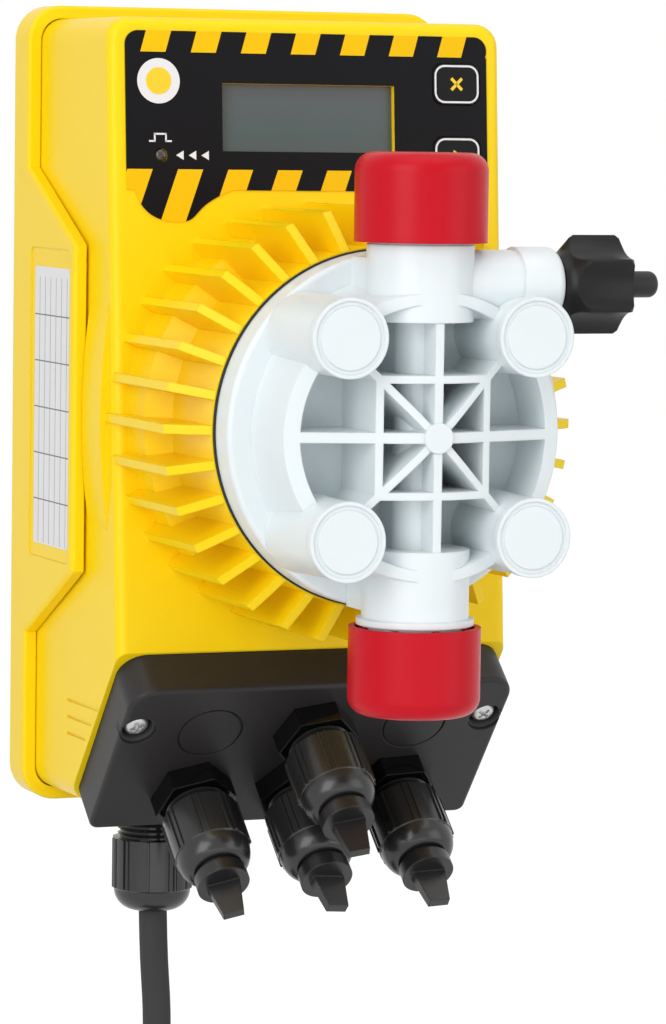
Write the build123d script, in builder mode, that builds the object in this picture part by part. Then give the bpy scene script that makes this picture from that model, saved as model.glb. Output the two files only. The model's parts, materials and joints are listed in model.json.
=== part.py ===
"""Wall-mounted solenoid diaphragm metering pump, in millimetres.

The origin is the middle of the wall face of the rear housing, level with the pump head's axis.
+X is to the right seen from the front, +Y goes into the wall and +Z is up.
Depths are distances in front of the wall, so a point at depth d has Y = -d.
"""
from build123d import *
import os
from math import atan2, copysign, cos, pi, radians, sin, sqrt, tan

# ---------------------------------------------------------------- rear housing
case_width = 116.1
case_height = 208.9
case_middle_z = -0.35
case_corner = 9.0
rear_wall = 3.4
rear_floor = 3.0
rim_depth = 11.1
rim_edge = 0.9
wing_depth = 48.5
wing_top_at_rim = 62.0
wing_top_at_front = 43.0
wing_bottom_at_front = -40.5
wing_bottom_at_rim = -60.0
wing_edge = 1.2
fixing_spacing_x = 78.0
fixing_spacing_z = 150.0
fixing_hole = 4.4
fixing_boss = 12.0
fixing_boss_height = 6.0
plate_recess_margin = 1.6
plate_recess_depth = 0.3

# --------------------------------------------------------------- front housing
seam = 0.1
front_narrowing = 1.2
front_wall = 2.6
front_corner = 6.0
face_depth = 67.9
face_tilt = 4.12
face_wall = 3.0
face_edge = 2.6
bulge_height = 2.4
bulge_length = 62.0
bulge_gap = 0.4
bulge_front = 63.0
groove_width = 0.6
groove_cut = 0.4
groove_back = 35.0
groove_pitch = 4.35
groove_top_z = -75.0
groove_lengths = (23.0, 18.3, 13.8)
column_inset = 6.55
column_top_z = 94.4
column_bottom_z = -86.0
column_radius = 3.4
column_web = 2.0
column_screw = 3.0
column_screw_head = 5.8
column_screw_length = 22.0
column_screw_sink = 0.3

# ------------------------------------------------- finned barrel and its drive
barrel_radius = 44.6
barrel_front = 112.7
barrel_bore = 38.0
barrel_ring_back = 92.0
barrel_ring_bore = 22.0
support_recess = 8.0
fin_count = 15
fin_pitch = 11.0
fin_thickness = 2.3
fin_radius = 54.4
fin_shoulder_drop = 7.2
fin_root_radius = 50.2
fin_root_front = 80.0
fit_gap = 0.2
cut_past = 1.0
yoke_length = 43.8
yoke_wall = 4.8
yoke_front_plate = 8.5
yoke_rear_plate = 6.0
plunger_radius = 14.0
plunger_running_gap = 0.08
plunger_length = 20.0
rod_radius = 4.0
stroke = 1.25
stroke_margin = 0.15
spring_radius = 6.8
spring_wire = 1.2
spring_pocket = 9.4
winding_margin = 1.5
bobbin_wall = 1.5
plunger_edge = 0.8

# ------------------------------------------------------------------- pump head
gasket_thickness = 1.0
gasket_radius = 44.3
diaphragm_radius = 29.7
diaphragm_thickness = 1.0
diaphragm_dome = 19.0
diaphragm_dome_height = 2.6
diaphragm_dome_taper = 35.0
diaphragm_hub = 6.0
diaphragm_hub_length = 9.0
diaphragm_hub_gap = 1.0
chamber_radius = 24.0
chamber_depth = 4.6
head_radius = 43.9
head_flange = 8.5
head_edge = 1.2
head_front_depth = 148.2
ring_radius = 34.8
ring_wall = 2.7
ring_draft = 7.0
ridge_slope = 17.0
ridge_round = 24.0
cell_floor_depth = 124.0
hub_radius = 3.7
hub_proud = 0.5
rib = 2.2
level_rib = 2.6
diagonal_rib = 1.9
square_half = 14.0
post_half_spacing = 24.2
post_radius = 9.3
post_foot_radius = 10.0
post_proud = 0.3
post_counterbore = 6.6
post_counterbore_depth = 14.5
cap_disc = 2.6
cap_radius = 9.7
cap_rim = 1.0
cap_recess = 0.35
cap_stem_length = 4.0
head_screw = 6.0
head_screw_head = 10.0
head_screw_head_height = 6.0
head_screw_socket = 3.1
valve_depth = 135.5
valve_tube = 13.05
valve_collar = 14.3
valve_collar_height = 1.6
valve_inner_end = 27.5
valve_shoulder = 46.0
valve_thread_radius = 12.5
valve_end = 61.0
valve_bore = 8.6
valve_bore_end = 39.5
passage_radius = 2.5
passage_tube = 6.0
passage_z = 16.0
port_radius = 2.2
chamber_post = 5.0
cartridge_gap = 0.05
seat_bore = 3.5
seat_height = 6.0
ball_radius = 4.75
ball_clearance = 0.1
ball_lift = 1.5
cage_bore = 5.5
cage_height = 15.0
cage_bar = 2.2
ring_seal_wire = 1.3

# ------------------------------------------------------------- transport caps
bung_radius = 16.15
bung_wall = 1.5
bung_height = 21.6
bung_round = 4.5
bung_mouth = 46.5
bung_ribs = 8

# ------------------------------------------------------------------ bleed valve
vent_z = 36.3
vent_tube = 8.4
vent_step = 25.5
vent_tube_end = 31.2
vent_seat_x = 22.0
vent_seat_bore = 2.0
vent_bore = 5.0
sleeve_radius = 9.1
sleeve_end = 38.8
sleeve_spigot = 4.5
sleeve_round = 1.5
needle_radius = 3.0
needle_gap = 0.08
needle_tip_gap = 1.3
needle_tip_length = 2.0
needle_tip_taper = 42.0
needle_grip = 4.0
knob_gap = 0.4
knob_neck_radius = 7.6
knob_flare_x = 45.5
knob_radius = 12.2
knob_end = 57.8
knob_lobes = 6
knob_notch = 3.0
knob_edge = 1.0
nozzle_radius = 3.3
nozzle_end = 63.0
nozzle_root = 5.0
nozzle_bore = 1.1
nozzle_round = 2.0

# ------------------------------------------------------------- operating panel
panel_left = -49.6
panel_right = 49.6
panel_top = 97.2
panel_bottom = 57.3
panel_corner = 3.5
panel_film = 0.35
lobe_low = 49.4
lobe_outer = 47.6
lobe_flat_outer = 38.6
lobe_flat_inner = 34.0
lobe_inner = 21.0
lobe_lean = 0.35
window_width = 47.4
window_height = 17.2
window_z = 75.7
window_recess = 1.8
window_thickness = 1.1
key_width = 13.2
key_height = 10.6
key_corner = 3.0
key_x = 41.0
escape_key_z = 85.0
start_key_z = 66.2
arrow_key_size = 6.4
arrow_key_z = 54.2
arrow_key_x = (31.6, 40.4)
key_gap = 0.15
key_proud = 0.35
key_crown = 0.35
key_travel = 0.5
key_lip = 0.8
key_lip_thickness = 1.0
lamp_x = -40.3
lamp_z = 66.0
lamp_radius = 1.6
lamp_proud = 0.6
lamp_round = 1.0
board_offset = 14.0
board_thickness = 1.6
board_width = 92.0
board_low = 47.0
board_high = 88.0
board_pillar = 2.2
board_pillar_spots = ((-43.0, 84.0), (-43.0, 52.0), (43.0, 75.4), (24.5, 52.0))
display_width = 58.0
display_height = 25.0
switch_size = 6.0

# ----------------------------------------------------------- terminal housing
seat_top_depth = 71.8
seat_top_z = -59.4
cover_slope = 40.24
cover_thickness = 12.8
cover_length = 51.85
cover_margin = 2.0
cover_top_corner = 7.0
cover_bottom_corner = 2.5
cover_edge = 1.2
cover_wall = 2.6
seal_thickness = 0.8
cover_screw_inset = 4.65
cover_screw_down = 14.6
cover_screw_recess = 4.7
cover_screw_recess_depth = 3.4
cover_screw_boss = 4.4
cover_screw_boss_length = 13.2
cover_screw_hole = 11.0
cover_screw_grip = 8.8
cover_screw = 3.5
cover_screw_head = 6.6
cover_screw_head_height = 2.2
gland_pitch = 28.1
gland_row_one = 16.2
gland_row_two = 37.7
knockout_radius = 8.6
knockout_groove = 0.5
terminal_width = 60.0
terminal_height = 16.0
terminal_depth = 14.0
terminal_z = -75.0
terminal_ways = 6
terminal_screw = 4.0

# ---------------------------------------------------------------- cable glands
gland_hex = 18.6
gland_hex_height = 6.0
gland_shank = 7.55
gland_neck = 7.6
gland_neck_end = 14.0
gland_shank_length = 8.0
gland_nut_radius = 10.3
gland_nut_start = 9.4
gland_nut_length = 12.4
gland_dome_length = 5.8
gland_mouth = 6.2
gland_nut_flats = 12
gland_dome_taper = 25.0
nut_edge = 0.6
gland_turns = (18.0, -6.0, 4.0, 12.0)
locknut_hex = 18.0
locknut_height = 3.5
plug_stem = 5.9
plug_disc = 6.8
plug_disc_start = 28.8
plug_disc_height = 3.6
plug_wing_width = 8.6
plug_wing_tip = 5.4
plug_wing_thickness = 3.0
plug_wing_tip_thickness = 2.4
plug_wing_length = 9.6

# ------------------------------------------------- mains gland, lead and plug
mains_x = -26.5
mains_depth = 25.0
mains_nut_radius = 10.9
mains_hex = 20.0
mains_hex_height = 5.0
mains_neck = 8.6
mains_neck_length = 14.0
mains_nut_start = 12.4
mains_nut_length = 13.2
mains_dome_length = 6.0
lead_diameter = 7.5
lead_points = (
    (-26.5, -25.0, -108.0),
    (-26.5, -25.0, -138.0),
    (-24.2, -25.0, -166.0),
    (-23.6, -18.0, -192.0),
    (-11.6, -10.5, -213.8),
    (9.2, -7.0, -226.4),
)
bend_share = 0.45
coil_radius = 41.0
coil_turns = 5
turn_pitch = 7.6
coil_joined_length = 9.0
tail_length = 50.0
plug_body_length = 38.0
plug_body_width = 34.0
plug_body_thickness = 15.0
plug_pin_length = 19.0
plug_pin_radius = 2.4
plug_pin_pitch = 19.0
tie_width = 8.0
tie_angle = radians(35)
tie_thickness = 1.6
relief_length = 14.0
relief_radius = 5.0
plug_corner = 4.0

# --------------------------------------------------------------- derived sizes
half_width = case_width / 2
front_half = half_width - rear_wall - seam
front_height = case_height - 2 * rear_wall - 2 * seam
front_bottom_z = case_middle_z - front_height / 2
gasket_front = barrel_front + gasket_thickness
head_flange_front = gasket_front + head_flange
support_back = barrel_front - support_recess
yoke_front = barrel_ring_back - fit_gap
yoke_back = yoke_front - yoke_length
pole_back = yoke_front - yoke_front_plate
plunger_front = pole_back - stroke - stroke_margin
plunger_back = plunger_front - plunger_length
hub_back = gasket_front - diaphragm_hub_length
post_front_depth = head_front_depth + post_proud
post_counterbore_floor = post_front_depth - post_counterbore_depth
head_screw_length = post_counterbore_floor - barrel_ring_back
cap_front_depth = post_front_depth + cap_disc
column_x = front_half - column_inset
cover_width = 2 * (front_half - cover_margin)
cover_screw_x = cover_width / 2 - cover_screw_inset
fin_sweep = fin_pitch * (fin_count - 1)
post_sides = (-post_half_spacing, post_half_spacing)
post_spots = [(x, z) for x in post_sides for z in post_sides]
column_spots = [(x, z) for x in (-column_x, column_x) for z in (column_bottom_z, column_top_z)]
cover_screw_spots = [(x, -cover_screw_down) for x in (-cover_screw_x, cover_screw_x)]

os.makedirs("parts", exist_ok=True)


def front_plane(depth):
    """A plane facing the front at a depth from the wall: its x is +X and its y is +Z."""
    return Plane.XZ.offset(depth)


face_plane = Plane(
    origin=(0, -face_depth, 0),
    x_dir=(1, 0, 0),
    z_dir=(0, -cos(radians(face_tilt)), sin(radians(face_tilt))),
)
seat_plane = Plane(
    origin=(0, -seat_top_depth, seat_top_z),
    x_dir=(1, 0, 0),
    z_dir=(0, -cos(radians(cover_slope)), -sin(radians(cover_slope))),
)
cover_plane = seat_plane.offset(cover_thickness)


def on_face(z):
    """The distance up the tilted front face of a point at height z."""
    return z / cos(radians(face_tilt))


def save(builder, name):
    """Label a finished piece and write it to its own STEP file."""
    builder.part.label = name
    export_step(builder.part, f"parts/{name}.step")


# ================================================================ rear housing
with BuildPart() as rear_housing:
    with BuildSketch(front_plane(0)):
        with Locations((0, case_middle_z)):
            RectangleRounded(case_width, case_height, case_corner)
    extrude(amount=rim_depth)
    fillet(rear_housing.faces().sort_by(Axis.Y)[0].edges(), rim_edge)
    with BuildSketch(front_plane(rear_floor)):
        with Locations((0, case_middle_z)):
            RectangleRounded(
                case_width - 2 * rear_wall,
                case_height - 2 * rear_wall,
                case_corner - rear_wall,
            )
    extrude(amount=rim_depth, mode=Mode.SUBTRACT)
    for side in (-1, 1):
        with BuildSketch(Plane.YZ.offset(side * half_width)):
            Polygon(
                (-rim_depth + 2 * rim_edge, wing_top_at_rim + rim_edge),
                (-wing_depth, wing_top_at_front),
                (-wing_depth, wing_bottom_at_front),
                (-rim_depth + 2 * rim_edge, wing_bottom_at_rim - rim_edge),
                align=None,
            )
        extrude(amount=-side * rear_wall)
    wing_rims = rear_housing.edges().filter_by(lambda e: abs(abs(e.center().X) - half_width) < 0.01)
    wing_rims = wing_rims.filter_by(lambda e: e.center().Y < -rim_depth - rim_edge)
    fillet(wing_rims, wing_edge)
    with BuildSketch(front_plane(rear_floor)):
        with GridLocations(fixing_spacing_x, fixing_spacing_z, 2, 2):
            Circle(fixing_boss / 2)
        with Locations(*column_spots):
            Circle(column_radius)
    extrude(amount=fixing_boss_height - rear_floor)
    with Locations(Plane.XZ):
        with GridLocations(fixing_spacing_x, fixing_spacing_z, 2, 2):
            Hole(fixing_hole / 2, depth=2 * fixing_boss_height)
    with BuildSketch(front_plane(0)):
        with Locations(*column_spots):
            Circle(column_screw_head / 2 + fit_gap)
    extrude(amount=rear_floor, mode=Mode.SUBTRACT)
    with BuildSketch(front_plane(0)):
        with Locations(*column_spots):
            Circle(column_screw / 2 + fit_gap)
    extrude(amount=fixing_boss_height, mode=Mode.SUBTRACT)
    with BuildSketch(Plane.YZ.offset(-half_width)):
        recess_middle_z = (wing_top_at_front + wing_bottom_at_front) / 2
        with Locations(((-rim_depth - wing_depth) / 2, recess_middle_z)):
            RectangleRounded(
                wing_depth - rim_depth - 4 * plate_recess_margin,
                wing_top_at_front - wing_bottom_at_front - 2 * plate_recess_margin,
                plate_recess_margin,
            )
    extrude(amount=plate_recess_depth, mode=Mode.SUBTRACT)
save(rear_housing, "rear_housing")


# =============================================================== front housing
side_draft_reach = face_depth + case_height * tan(radians(face_tilt))


def housing_block(inset, face_inset):
    """The front housing's outline as a solid, drawn in by inset at its sides and face_inset at its face."""
    with BuildPart() as block:
        with BuildSketch(front_plane(rear_floor + seam)):
            with Locations((0, case_middle_z)):
                RectangleRounded(
                    2 * (front_half - inset),
                    front_height - 2 * inset,
                    front_corner - inset / 2,
                )
        with BuildSketch(front_plane(side_draft_reach)):
            with Locations((0, case_middle_z)):
                RectangleRounded(
                    2 * (front_half - front_narrowing - inset),
                    front_height - 2 * inset,
                    front_corner - inset / 2,
                )
        loft(ruled=True)
        split(bisect_by=face_plane.offset(-face_inset), keep=Keep.BOTTOM)
    return block.part


housing_cavity = housing_block(front_wall, face_wall)

with BuildPart() as columns:
    with BuildSketch(front_plane(fixing_boss_height + seam)):
        for x, z in column_spots:
            with Locations((x, z)):
                Circle(column_radius)
            with Locations((x + copysign(column_inset, x) / 2, z)):
                Rectangle(column_inset, column_web)
    extrude(amount=face_depth)
    add(housing_block(front_wall / 2, face_wall / 2), mode=Mode.INTERSECT)
    split(bisect_by=seat_plane.offset(-front_wall), keep=Keep.BOTTOM)
    with Locations(Plane.XZ.offset(fixing_boss_height)):
        with Locations(*column_spots):
            Hole(column_screw / 2 + fit_gap, depth=column_screw_length)

with BuildPart() as fins:
    fin_depth = barrel_front - face_depth + case_corner
    with BuildSketch(front_plane(face_depth - case_corner)):
        for side_angle in (0, 180):
            with PolarLocations(0, fin_count, side_angle - fin_sweep / 2, fin_sweep, endpoint=True):
                Rectangle(fin_radius, fin_thickness, align=(Align.MIN, Align.CENTER))
        with PolarLocations(0, 2, 90):
            Rectangle(fin_radius, fin_thickness, align=(Align.MIN, Align.CENTER))
        Circle(barrel_radius)
    extrude(amount=fin_depth)
    with BuildSketch(Plane.XY):
        Polygon(
            (0, 0),
            (0, -barrel_front),
            (barrel_radius, -barrel_front),
            (fin_radius, -barrel_front + fin_shoulder_drop),
            (fin_radius, 0),
            align=None,
        )
    revolve(axis=Axis.Y, mode=Mode.INTERSECT)
    with BuildSketch(Plane.XY):
        Polygon(
            (barrel_radius - fit_gap, -face_depth + case_corner),
            (barrel_radius - fit_gap, -fin_root_front - fin_root_radius + barrel_radius),
            (fin_root_radius, -fin_root_front),
            (fin_root_radius, -face_depth + case_corner),
            align=None,
        )
    revolve(axis=Axis.Y)

with BuildPart() as front_housing:
    add(housing_block(0, 0))
    face_rim = front_housing.faces().filter_by(lambda f: f.normal_at().dot(face_plane.z_dir) > 0.9999)
    fillet(face_rim.edges(), face_edge)
    split(bisect_by=seat_plane, keep=Keep.BOTTOM)
    # a shallow swelling of each side beside the fins
    with BuildSketch(front_plane(wing_depth + bulge_gap)):
        for side in (-1, 1):
            side_x = side * (front_half - front_narrowing)
            with BuildLine():
                ThreePointArc(
                    (side_x, -bulge_length / 2),
                    (side_x + side * bulge_height, 0),
                    (side_x, bulge_length / 2),
                )
                Polyline(
                    (side_x, bulge_length / 2),
                    (side_x - side * front_wall, bulge_length / 2),
                    (side_x - side * front_wall, -bulge_length / 2),
                    (side_x, -bulge_length / 2),
                )
            make_face()
    extrude(amount=bulge_front - wing_depth - bulge_gap)
    add(fins.part)
    add(housing_cavity, mode=Mode.SUBTRACT)
    add(columns.part)
    # barrel bore, diaphragm recess and head screw holes
    with Locations(Plane.XZ.offset(barrel_front)):
        Hole(barrel_ring_bore, depth=barrel_front)
        with Locations(*post_spots):
            Hole(head_screw / 2 + fit_gap, depth=barrel_front - barrel_ring_back + cut_past)
    with BuildSketch(front_plane(barrel_ring_back)):
        Circle(barrel_bore)
    extrude(amount=-barrel_ring_back + face_depth - case_corner, mode=Mode.SUBTRACT)
    with BuildSketch(front_plane(barrel_front)):
        Circle(diaphragm_radius + fit_gap)
    extrude(amount=-support_recess, mode=Mode.SUBTRACT)
    # pillars that carry the control board
    with BuildSketch(face_plane.offset(board_thickness - board_offset)):
        with Locations(*[(x, on_face(z)) for x, z in board_pillar_spots]):
            Circle(board_pillar)
    extrude(amount=board_offset - board_thickness - face_wall / 2)
    # bosses for the terminal cover's screws
    with BuildSketch(seat_plane):
        with Locations(*cover_screw_spots):
            Circle(cover_screw_boss)
    extrude(amount=-cover_screw_boss_length)
    with Locations(seat_plane):
        with Locations(*cover_screw_spots):
            Hole(cover_screw / 2, depth=cover_screw_hole)
    # openings of the operating panel
    with BuildSketch(face_plane):
        with Locations((0, on_face(window_z))):
            Rectangle(window_width, window_height)
        with Locations((key_x, on_face(escape_key_z)), (key_x, on_face(start_key_z))):
            RectangleRounded(key_width + 2 * key_gap, key_height + 2 * key_gap, key_corner)
        with Locations(*[(x, on_face(arrow_key_z)) for x in arrow_key_x]):
            Circle(arrow_key_size / 2 + key_gap)
        with Locations((lamp_x, on_face(lamp_z))):
            Circle(lamp_radius + key_gap)
    extrude(amount=-face_wall - face_edge, mode=Mode.SUBTRACT)
    # three shallow grooves low on each side
    groove_x = front_half - front_narrowing / 2 - groove_cut
    for side in (-1, 1):
        with BuildSketch(Plane.YZ.offset(side * groove_x)):
            for row, length in enumerate(groove_lengths):
                with Locations((-groove_back - length / 2, groove_top_z - row * groove_pitch)):
                    SlotOverall(length, groove_width)
        extrude(amount=side * rear_wall, mode=Mode.SUBTRACT)
    # hole for the mains gland
    with Locations(Plane(origin=(mains_x, -mains_depth, front_bottom_z), x_dir=(1, 0, 0), z_dir=(0, 0, -1))):
        Hole(mains_neck + fit_gap, depth=2 * front_wall)
save(front_housing, "front_housing")

with BuildPart() as housing_screws:
    with BuildSketch(front_plane(column_screw_sink)):
        with Locations(*column_spots):
            Circle(column_screw_head / 2)
    extrude(amount=rear_floor - column_screw_sink)
    with BuildSketch(front_plane(rear_floor)):
        with Locations(*column_spots):
            Circle(column_screw / 2)
    extrude(amount=column_screw_length)
save(housing_screws, "housing_screws")

# ========================================================== drive in the barrel
with BuildPart() as solenoid_yoke:
    with BuildSketch(Plane.XY):
        Polygon(
            (rod_radius + plunger_running_gap, -yoke_front),
            (barrel_bore - fit_gap, -yoke_front),
            (barrel_bore - fit_gap, -yoke_back),
            (plunger_radius + plunger_running_gap, -yoke_back),
            (plunger_radius + plunger_running_gap, -yoke_back - yoke_rear_plate),
            (barrel_bore - fit_gap - yoke_wall, -yoke_back - yoke_rear_plate),
            (barrel_bore - fit_gap - yoke_wall, -pole_back),
            (rod_radius + plunger_running_gap, -pole_back),
            align=None,
        )
    revolve(axis=Axis.Y)
save(solenoid_yoke, "solenoid_yoke")

with BuildPart() as solenoid_coil:
    coil_inner = plunger_radius + plunger_running_gap + fit_gap
    coil_outer = barrel_bore - fit_gap - yoke_wall - fit_gap
    coil_back = yoke_back + yoke_rear_plate + fit_gap
    coil_front = pole_back - fit_gap
    with BuildSketch(Plane.XY):
        Polygon(
            (coil_inner, -coil_back),
            (coil_outer, -coil_back),
            (coil_outer, -coil_back - bobbin_wall),
            (coil_outer - winding_margin, -coil_back - bobbin_wall),
            (coil_outer - winding_margin, -coil_front + bobbin_wall),
            (coil_outer, -coil_front + bobbin_wall),
            (coil_outer, -coil_front),
            (coil_inner, -coil_front),
            align=None,
        )
    revolve(axis=Axis.Y)
save(solenoid_coil, "solenoid_coil")

with BuildPart() as plunger:
    with BuildSketch(front_plane(plunger_back)):
        Circle(plunger_radius)
    extrude(amount=plunger_length)
    chamfer(plunger.edges().filter_by(GeomType.CIRCLE), plunger_edge)
    with BuildSketch(front_plane(plunger_front)):
        Circle(spring_pocket)
    extrude(amount=-plunger_length / 2, mode=Mode.SUBTRACT)
    with BuildSketch(front_plane(plunger_front - plunger_length / 2)):
        Circle(rod_radius)
    extrude(amount=hub_back - plunger_front + plunger_length / 2)
save(plunger, "plunger")

with BuildPart() as return_spring:
    spring_back = plunger_front - plunger_length / 2 + fit_gap
    with BuildSketch(front_plane(spring_back)):
        Circle(spring_radius + spring_wire / 2)
        Circle(spring_radius - spring_wire / 2, mode=Mode.SUBTRACT)
    extrude(amount=pole_back - fit_gap - spring_back)
save(return_spring, "return_spring")

with BuildPart() as support_plate:
    with BuildSketch(front_plane(support_back + fit_gap)):
        Circle(diaphragm_radius)
        Circle(diaphragm_hub + diaphragm_hub_gap, mode=Mode.SUBTRACT)
    extrude(amount=support_recess - fit_gap - diaphragm_thickness / 2)
    with BuildSketch(front_plane(barrel_ring_back + fit_gap)):
        Circle(barrel_ring_bore - fit_gap)
        Circle(diaphragm_hub + diaphragm_hub_gap, mode=Mode.SUBTRACT)
    extrude(amount=support_back - barrel_ring_back)
save(support_plate, "support_plate")

with BuildPart() as diaphragm:
    disc_back = barrel_front - diaphragm_thickness / 2
    with BuildSketch(front_plane(disc_back)):
        Circle(diaphragm_radius)
    extrude(amount=gasket_front - disc_back)
    with BuildSketch(front_plane(gasket_front)):
        Circle(diaphragm_dome)
    extrude(amount=diaphragm_dome_height, taper=diaphragm_dome_taper)
    with BuildSketch(front_plane(hub_back)):
        Circle(diaphragm_hub)
    extrude(amount=disc_back - hub_back)
save(diaphragm, "diaphragm")

with BuildPart() as head_gasket:
    with BuildSketch(front_plane(barrel_front)):
        Circle(gasket_radius)
        Circle(diaphragm_radius + fit_gap, mode=Mode.SUBTRACT)
        with Locations(*post_spots):
            Circle(head_screw / 2 + fit_gap, mode=Mode.SUBTRACT)
    extrude(amount=gasket_thickness)
save(head_gasket, "head_gasket")

# ===================================================================== pump head
ridge_reach = ridge_round * sin(radians(ridge_slope))
ridge_drop = ridge_round * (1 - cos(radians(ridge_slope)))
slope_drop = (head_radius - ridge_reach) * tan(radians(ridge_slope))

with BuildPart() as ridge_prism:
    with BuildSketch(Plane.XY.offset(-head_radius)):
        with BuildLine():
            ThreePointArc(
                (-ridge_reach, -head_front_depth + ridge_drop),
                (0, -head_front_depth),
                (ridge_reach, -head_front_depth + ridge_drop),
            )
            Polyline(
                (ridge_reach, -head_front_depth + ridge_drop),
                (head_radius, -head_front_depth + ridge_drop + slope_drop),
                (head_radius, -gasket_front),
                (-head_radius, -gasket_front),
                (-head_radius, -head_front_depth + ridge_drop + slope_drop),
                (-ridge_reach, -head_front_depth + ridge_drop),
            )
        make_face()
    extrude(amount=2 * head_radius)

with BuildPart() as lattice:
    with BuildSketch(front_plane(head_flange_front)):
        Rectangle(rib, 2 * ring_radius)
        Rectangle(2 * ring_radius, level_rib)
        for turn in (45, 135):
            Rectangle(2 * sqrt(2) * post_half_spacing, diagonal_rib, rotation=turn)
        with GridLocations(2 * square_half, 0, 2, 1):
            Rectangle(diagonal_rib, 2 * square_half + diagonal_rib)
        with GridLocations(0, 2 * square_half, 1, 2):
            Rectangle(2 * square_half + diagonal_rib, diagonal_rib)
        Circle(ring_radius - ring_wall / 2, mode=Mode.INTERSECT)
    extrude(amount=head_front_depth - head_flange_front)
    ring_flare = (head_front_depth - head_flange_front) * tan(radians(ring_draft))
    with BuildSketch(Plane.XY):
        Polygon(
            (ring_radius - ring_wall, -head_flange_front),
            (ring_radius + ring_flare, -head_flange_front),
            (ring_radius, -head_front_depth),
            (ring_radius - ring_wall, -head_front_depth),
            align=None,
        )
    revolve(axis=Axis.Y)
    add(ridge_prism.part, mode=Mode.INTERSECT)

with BuildPart() as pump_head:
    with BuildSketch(front_plane(gasket_front)):
        Circle(head_radius)
    extrude(amount=head_flange)
    fillet(pump_head.faces().sort_by(Axis.Y)[0].edges(), head_edge)
    with BuildSketch(front_plane(head_flange_front)):
        Circle(ring_radius)
    extrude(amount=cell_floor_depth - head_flange_front)
    add(lattice.part)
    with BuildSketch(front_plane(head_flange_front)):
        Circle(hub_radius)
    extrude(amount=head_front_depth + hub_proud - head_flange_front)
    for x, z in post_spots:
        post_middle = (head_flange_front + post_front_depth) / 2
        with Locations(Plane(origin=(x, -post_middle, z), x_dir=(1, 0, 0), z_dir=(0, -1, 0))):
            Cone(post_foot_radius, post_radius, post_front_depth - head_flange_front)
    # feed tube down the middle with its web
    with BuildSketch(Plane.XY.offset(-valve_inner_end)):
        with Locations((0, -valve_depth)):
            Circle(passage_tube)
        with Locations((0, (-valve_depth - head_flange_front) / 2)):
            Rectangle(2 * chamber_post, valve_depth - head_flange_front)
    extrude(amount=2 * valve_inner_end)
    with BuildSketch(front_plane(head_flange_front)):
        with GridLocations(0, valve_inner_end + head_radius - head_edge, 1, 2):
            Rectangle(2 * valve_thread_radius, head_radius - head_edge - valve_inner_end)
    extrude(amount=valve_depth - head_flange_front)
    for side in (-1, 1):
        tube_start = Plane(origin=(0, -valve_depth, side * valve_inner_end), x_dir=(1, 0, 0), z_dir=(0, 0, side))
        with BuildSketch(tube_start):
            Circle(valve_tube)
        extrude(amount=valve_shoulder - valve_inner_end)
        with BuildSketch(tube_start.offset(valve_shoulder - valve_inner_end)):
            Circle(valve_thread_radius)
        extrude(amount=valve_end - valve_shoulder)
    with BuildSketch(Plane.XY.offset(-valve_shoulder)):
        with Locations((0, -valve_depth)):
            Circle(valve_collar)
    extrude(amount=valve_collar_height)
    # side tube of the bleed valve
    vent_plane = Plane(origin=(0, -valve_depth, vent_z), x_dir=(0, 1, 0), z_dir=(1, 0, 0))
    with BuildSketch(vent_plane):
        Circle(vent_tube)
    extrude(amount=vent_step)
    with BuildSketch(vent_plane.offset(vent_step)):
        Circle(sleeve_radius)
    extrude(amount=vent_tube_end - vent_step)
    # bores, passages and the pumping chamber
    with BuildSketch(front_plane(gasket_front)):
        Circle(chamber_radius)
    extrude(amount=chamber_depth, mode=Mode.SUBTRACT)
    with BuildSketch(front_plane(gasket_front)):
        with Locations((0, -passage_z), (0, passage_z)):
            Circle(port_radius)
    extrude(amount=valve_depth - gasket_front, mode=Mode.SUBTRACT)
    for side in (-1, 1):
        passage = Plane(origin=(0, -valve_depth, side * passage_z), x_dir=(1, 0, 0), z_dir=(0, 0, side))
        with BuildSketch(passage.offset(-passage_radius)):
            Circle(passage_radius)
        extrude(amount=valve_bore_end - passage_z + passage_radius, mode=Mode.SUBTRACT)
        with BuildSketch(passage.offset(valve_bore_end - passage_z)):
            Circle(valve_bore)
        extrude(amount=valve_end - valve_bore_end, mode=Mode.SUBTRACT)
    with BuildSketch(vent_plane):
        Circle(vent_seat_bore)
    extrude(amount=vent_tube_end, mode=Mode.SUBTRACT)
    with BuildSketch(vent_plane.offset(vent_seat_x)):
        Circle(vent_bore)
    extrude(amount=vent_tube_end - vent_seat_x, mode=Mode.SUBTRACT)
    with BuildSketch(vent_plane.offset(vent_tube_end)):
        Circle(sleeve_radius + fit_gap)
    extrude(amount=sleeve_end - vent_tube_end, mode=Mode.SUBTRACT)
    with BuildSketch(front_plane(gasket_front)):
        with Locations(*post_spots):
            Circle(head_screw / 2 + fit_gap)
    extrude(amount=post_front_depth - gasket_front, mode=Mode.SUBTRACT)
    with BuildSketch(front_plane(post_counterbore_floor)):
        with Locations(*post_spots):
            Circle(post_counterbore)
    extrude(amount=post_front_depth - post_counterbore_floor, mode=Mode.SUBTRACT)
save(pump_head, "pump_head")

with BuildPart() as head_screws:
    with BuildSketch(front_plane(post_counterbore_floor)):
        with Locations(*post_spots):
            Circle(head_screw_head / 2)
    extrude(amount=head_screw_head_height)
    with BuildSketch(front_plane(post_counterbore_floor + head_screw_head_height)):
        with Locations(*post_spots):
            RegularPolygon(head_screw_socket, 6)
    extrude(amount=-head_screw_head_height / 2, mode=Mode.SUBTRACT)
    with BuildSketch(front_plane(post_counterbore_floor)):
        with Locations(*post_spots):
            Circle(head_screw / 2)
    extrude(amount=-head_screw_length)
save(head_screws, "head_screws")

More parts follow.
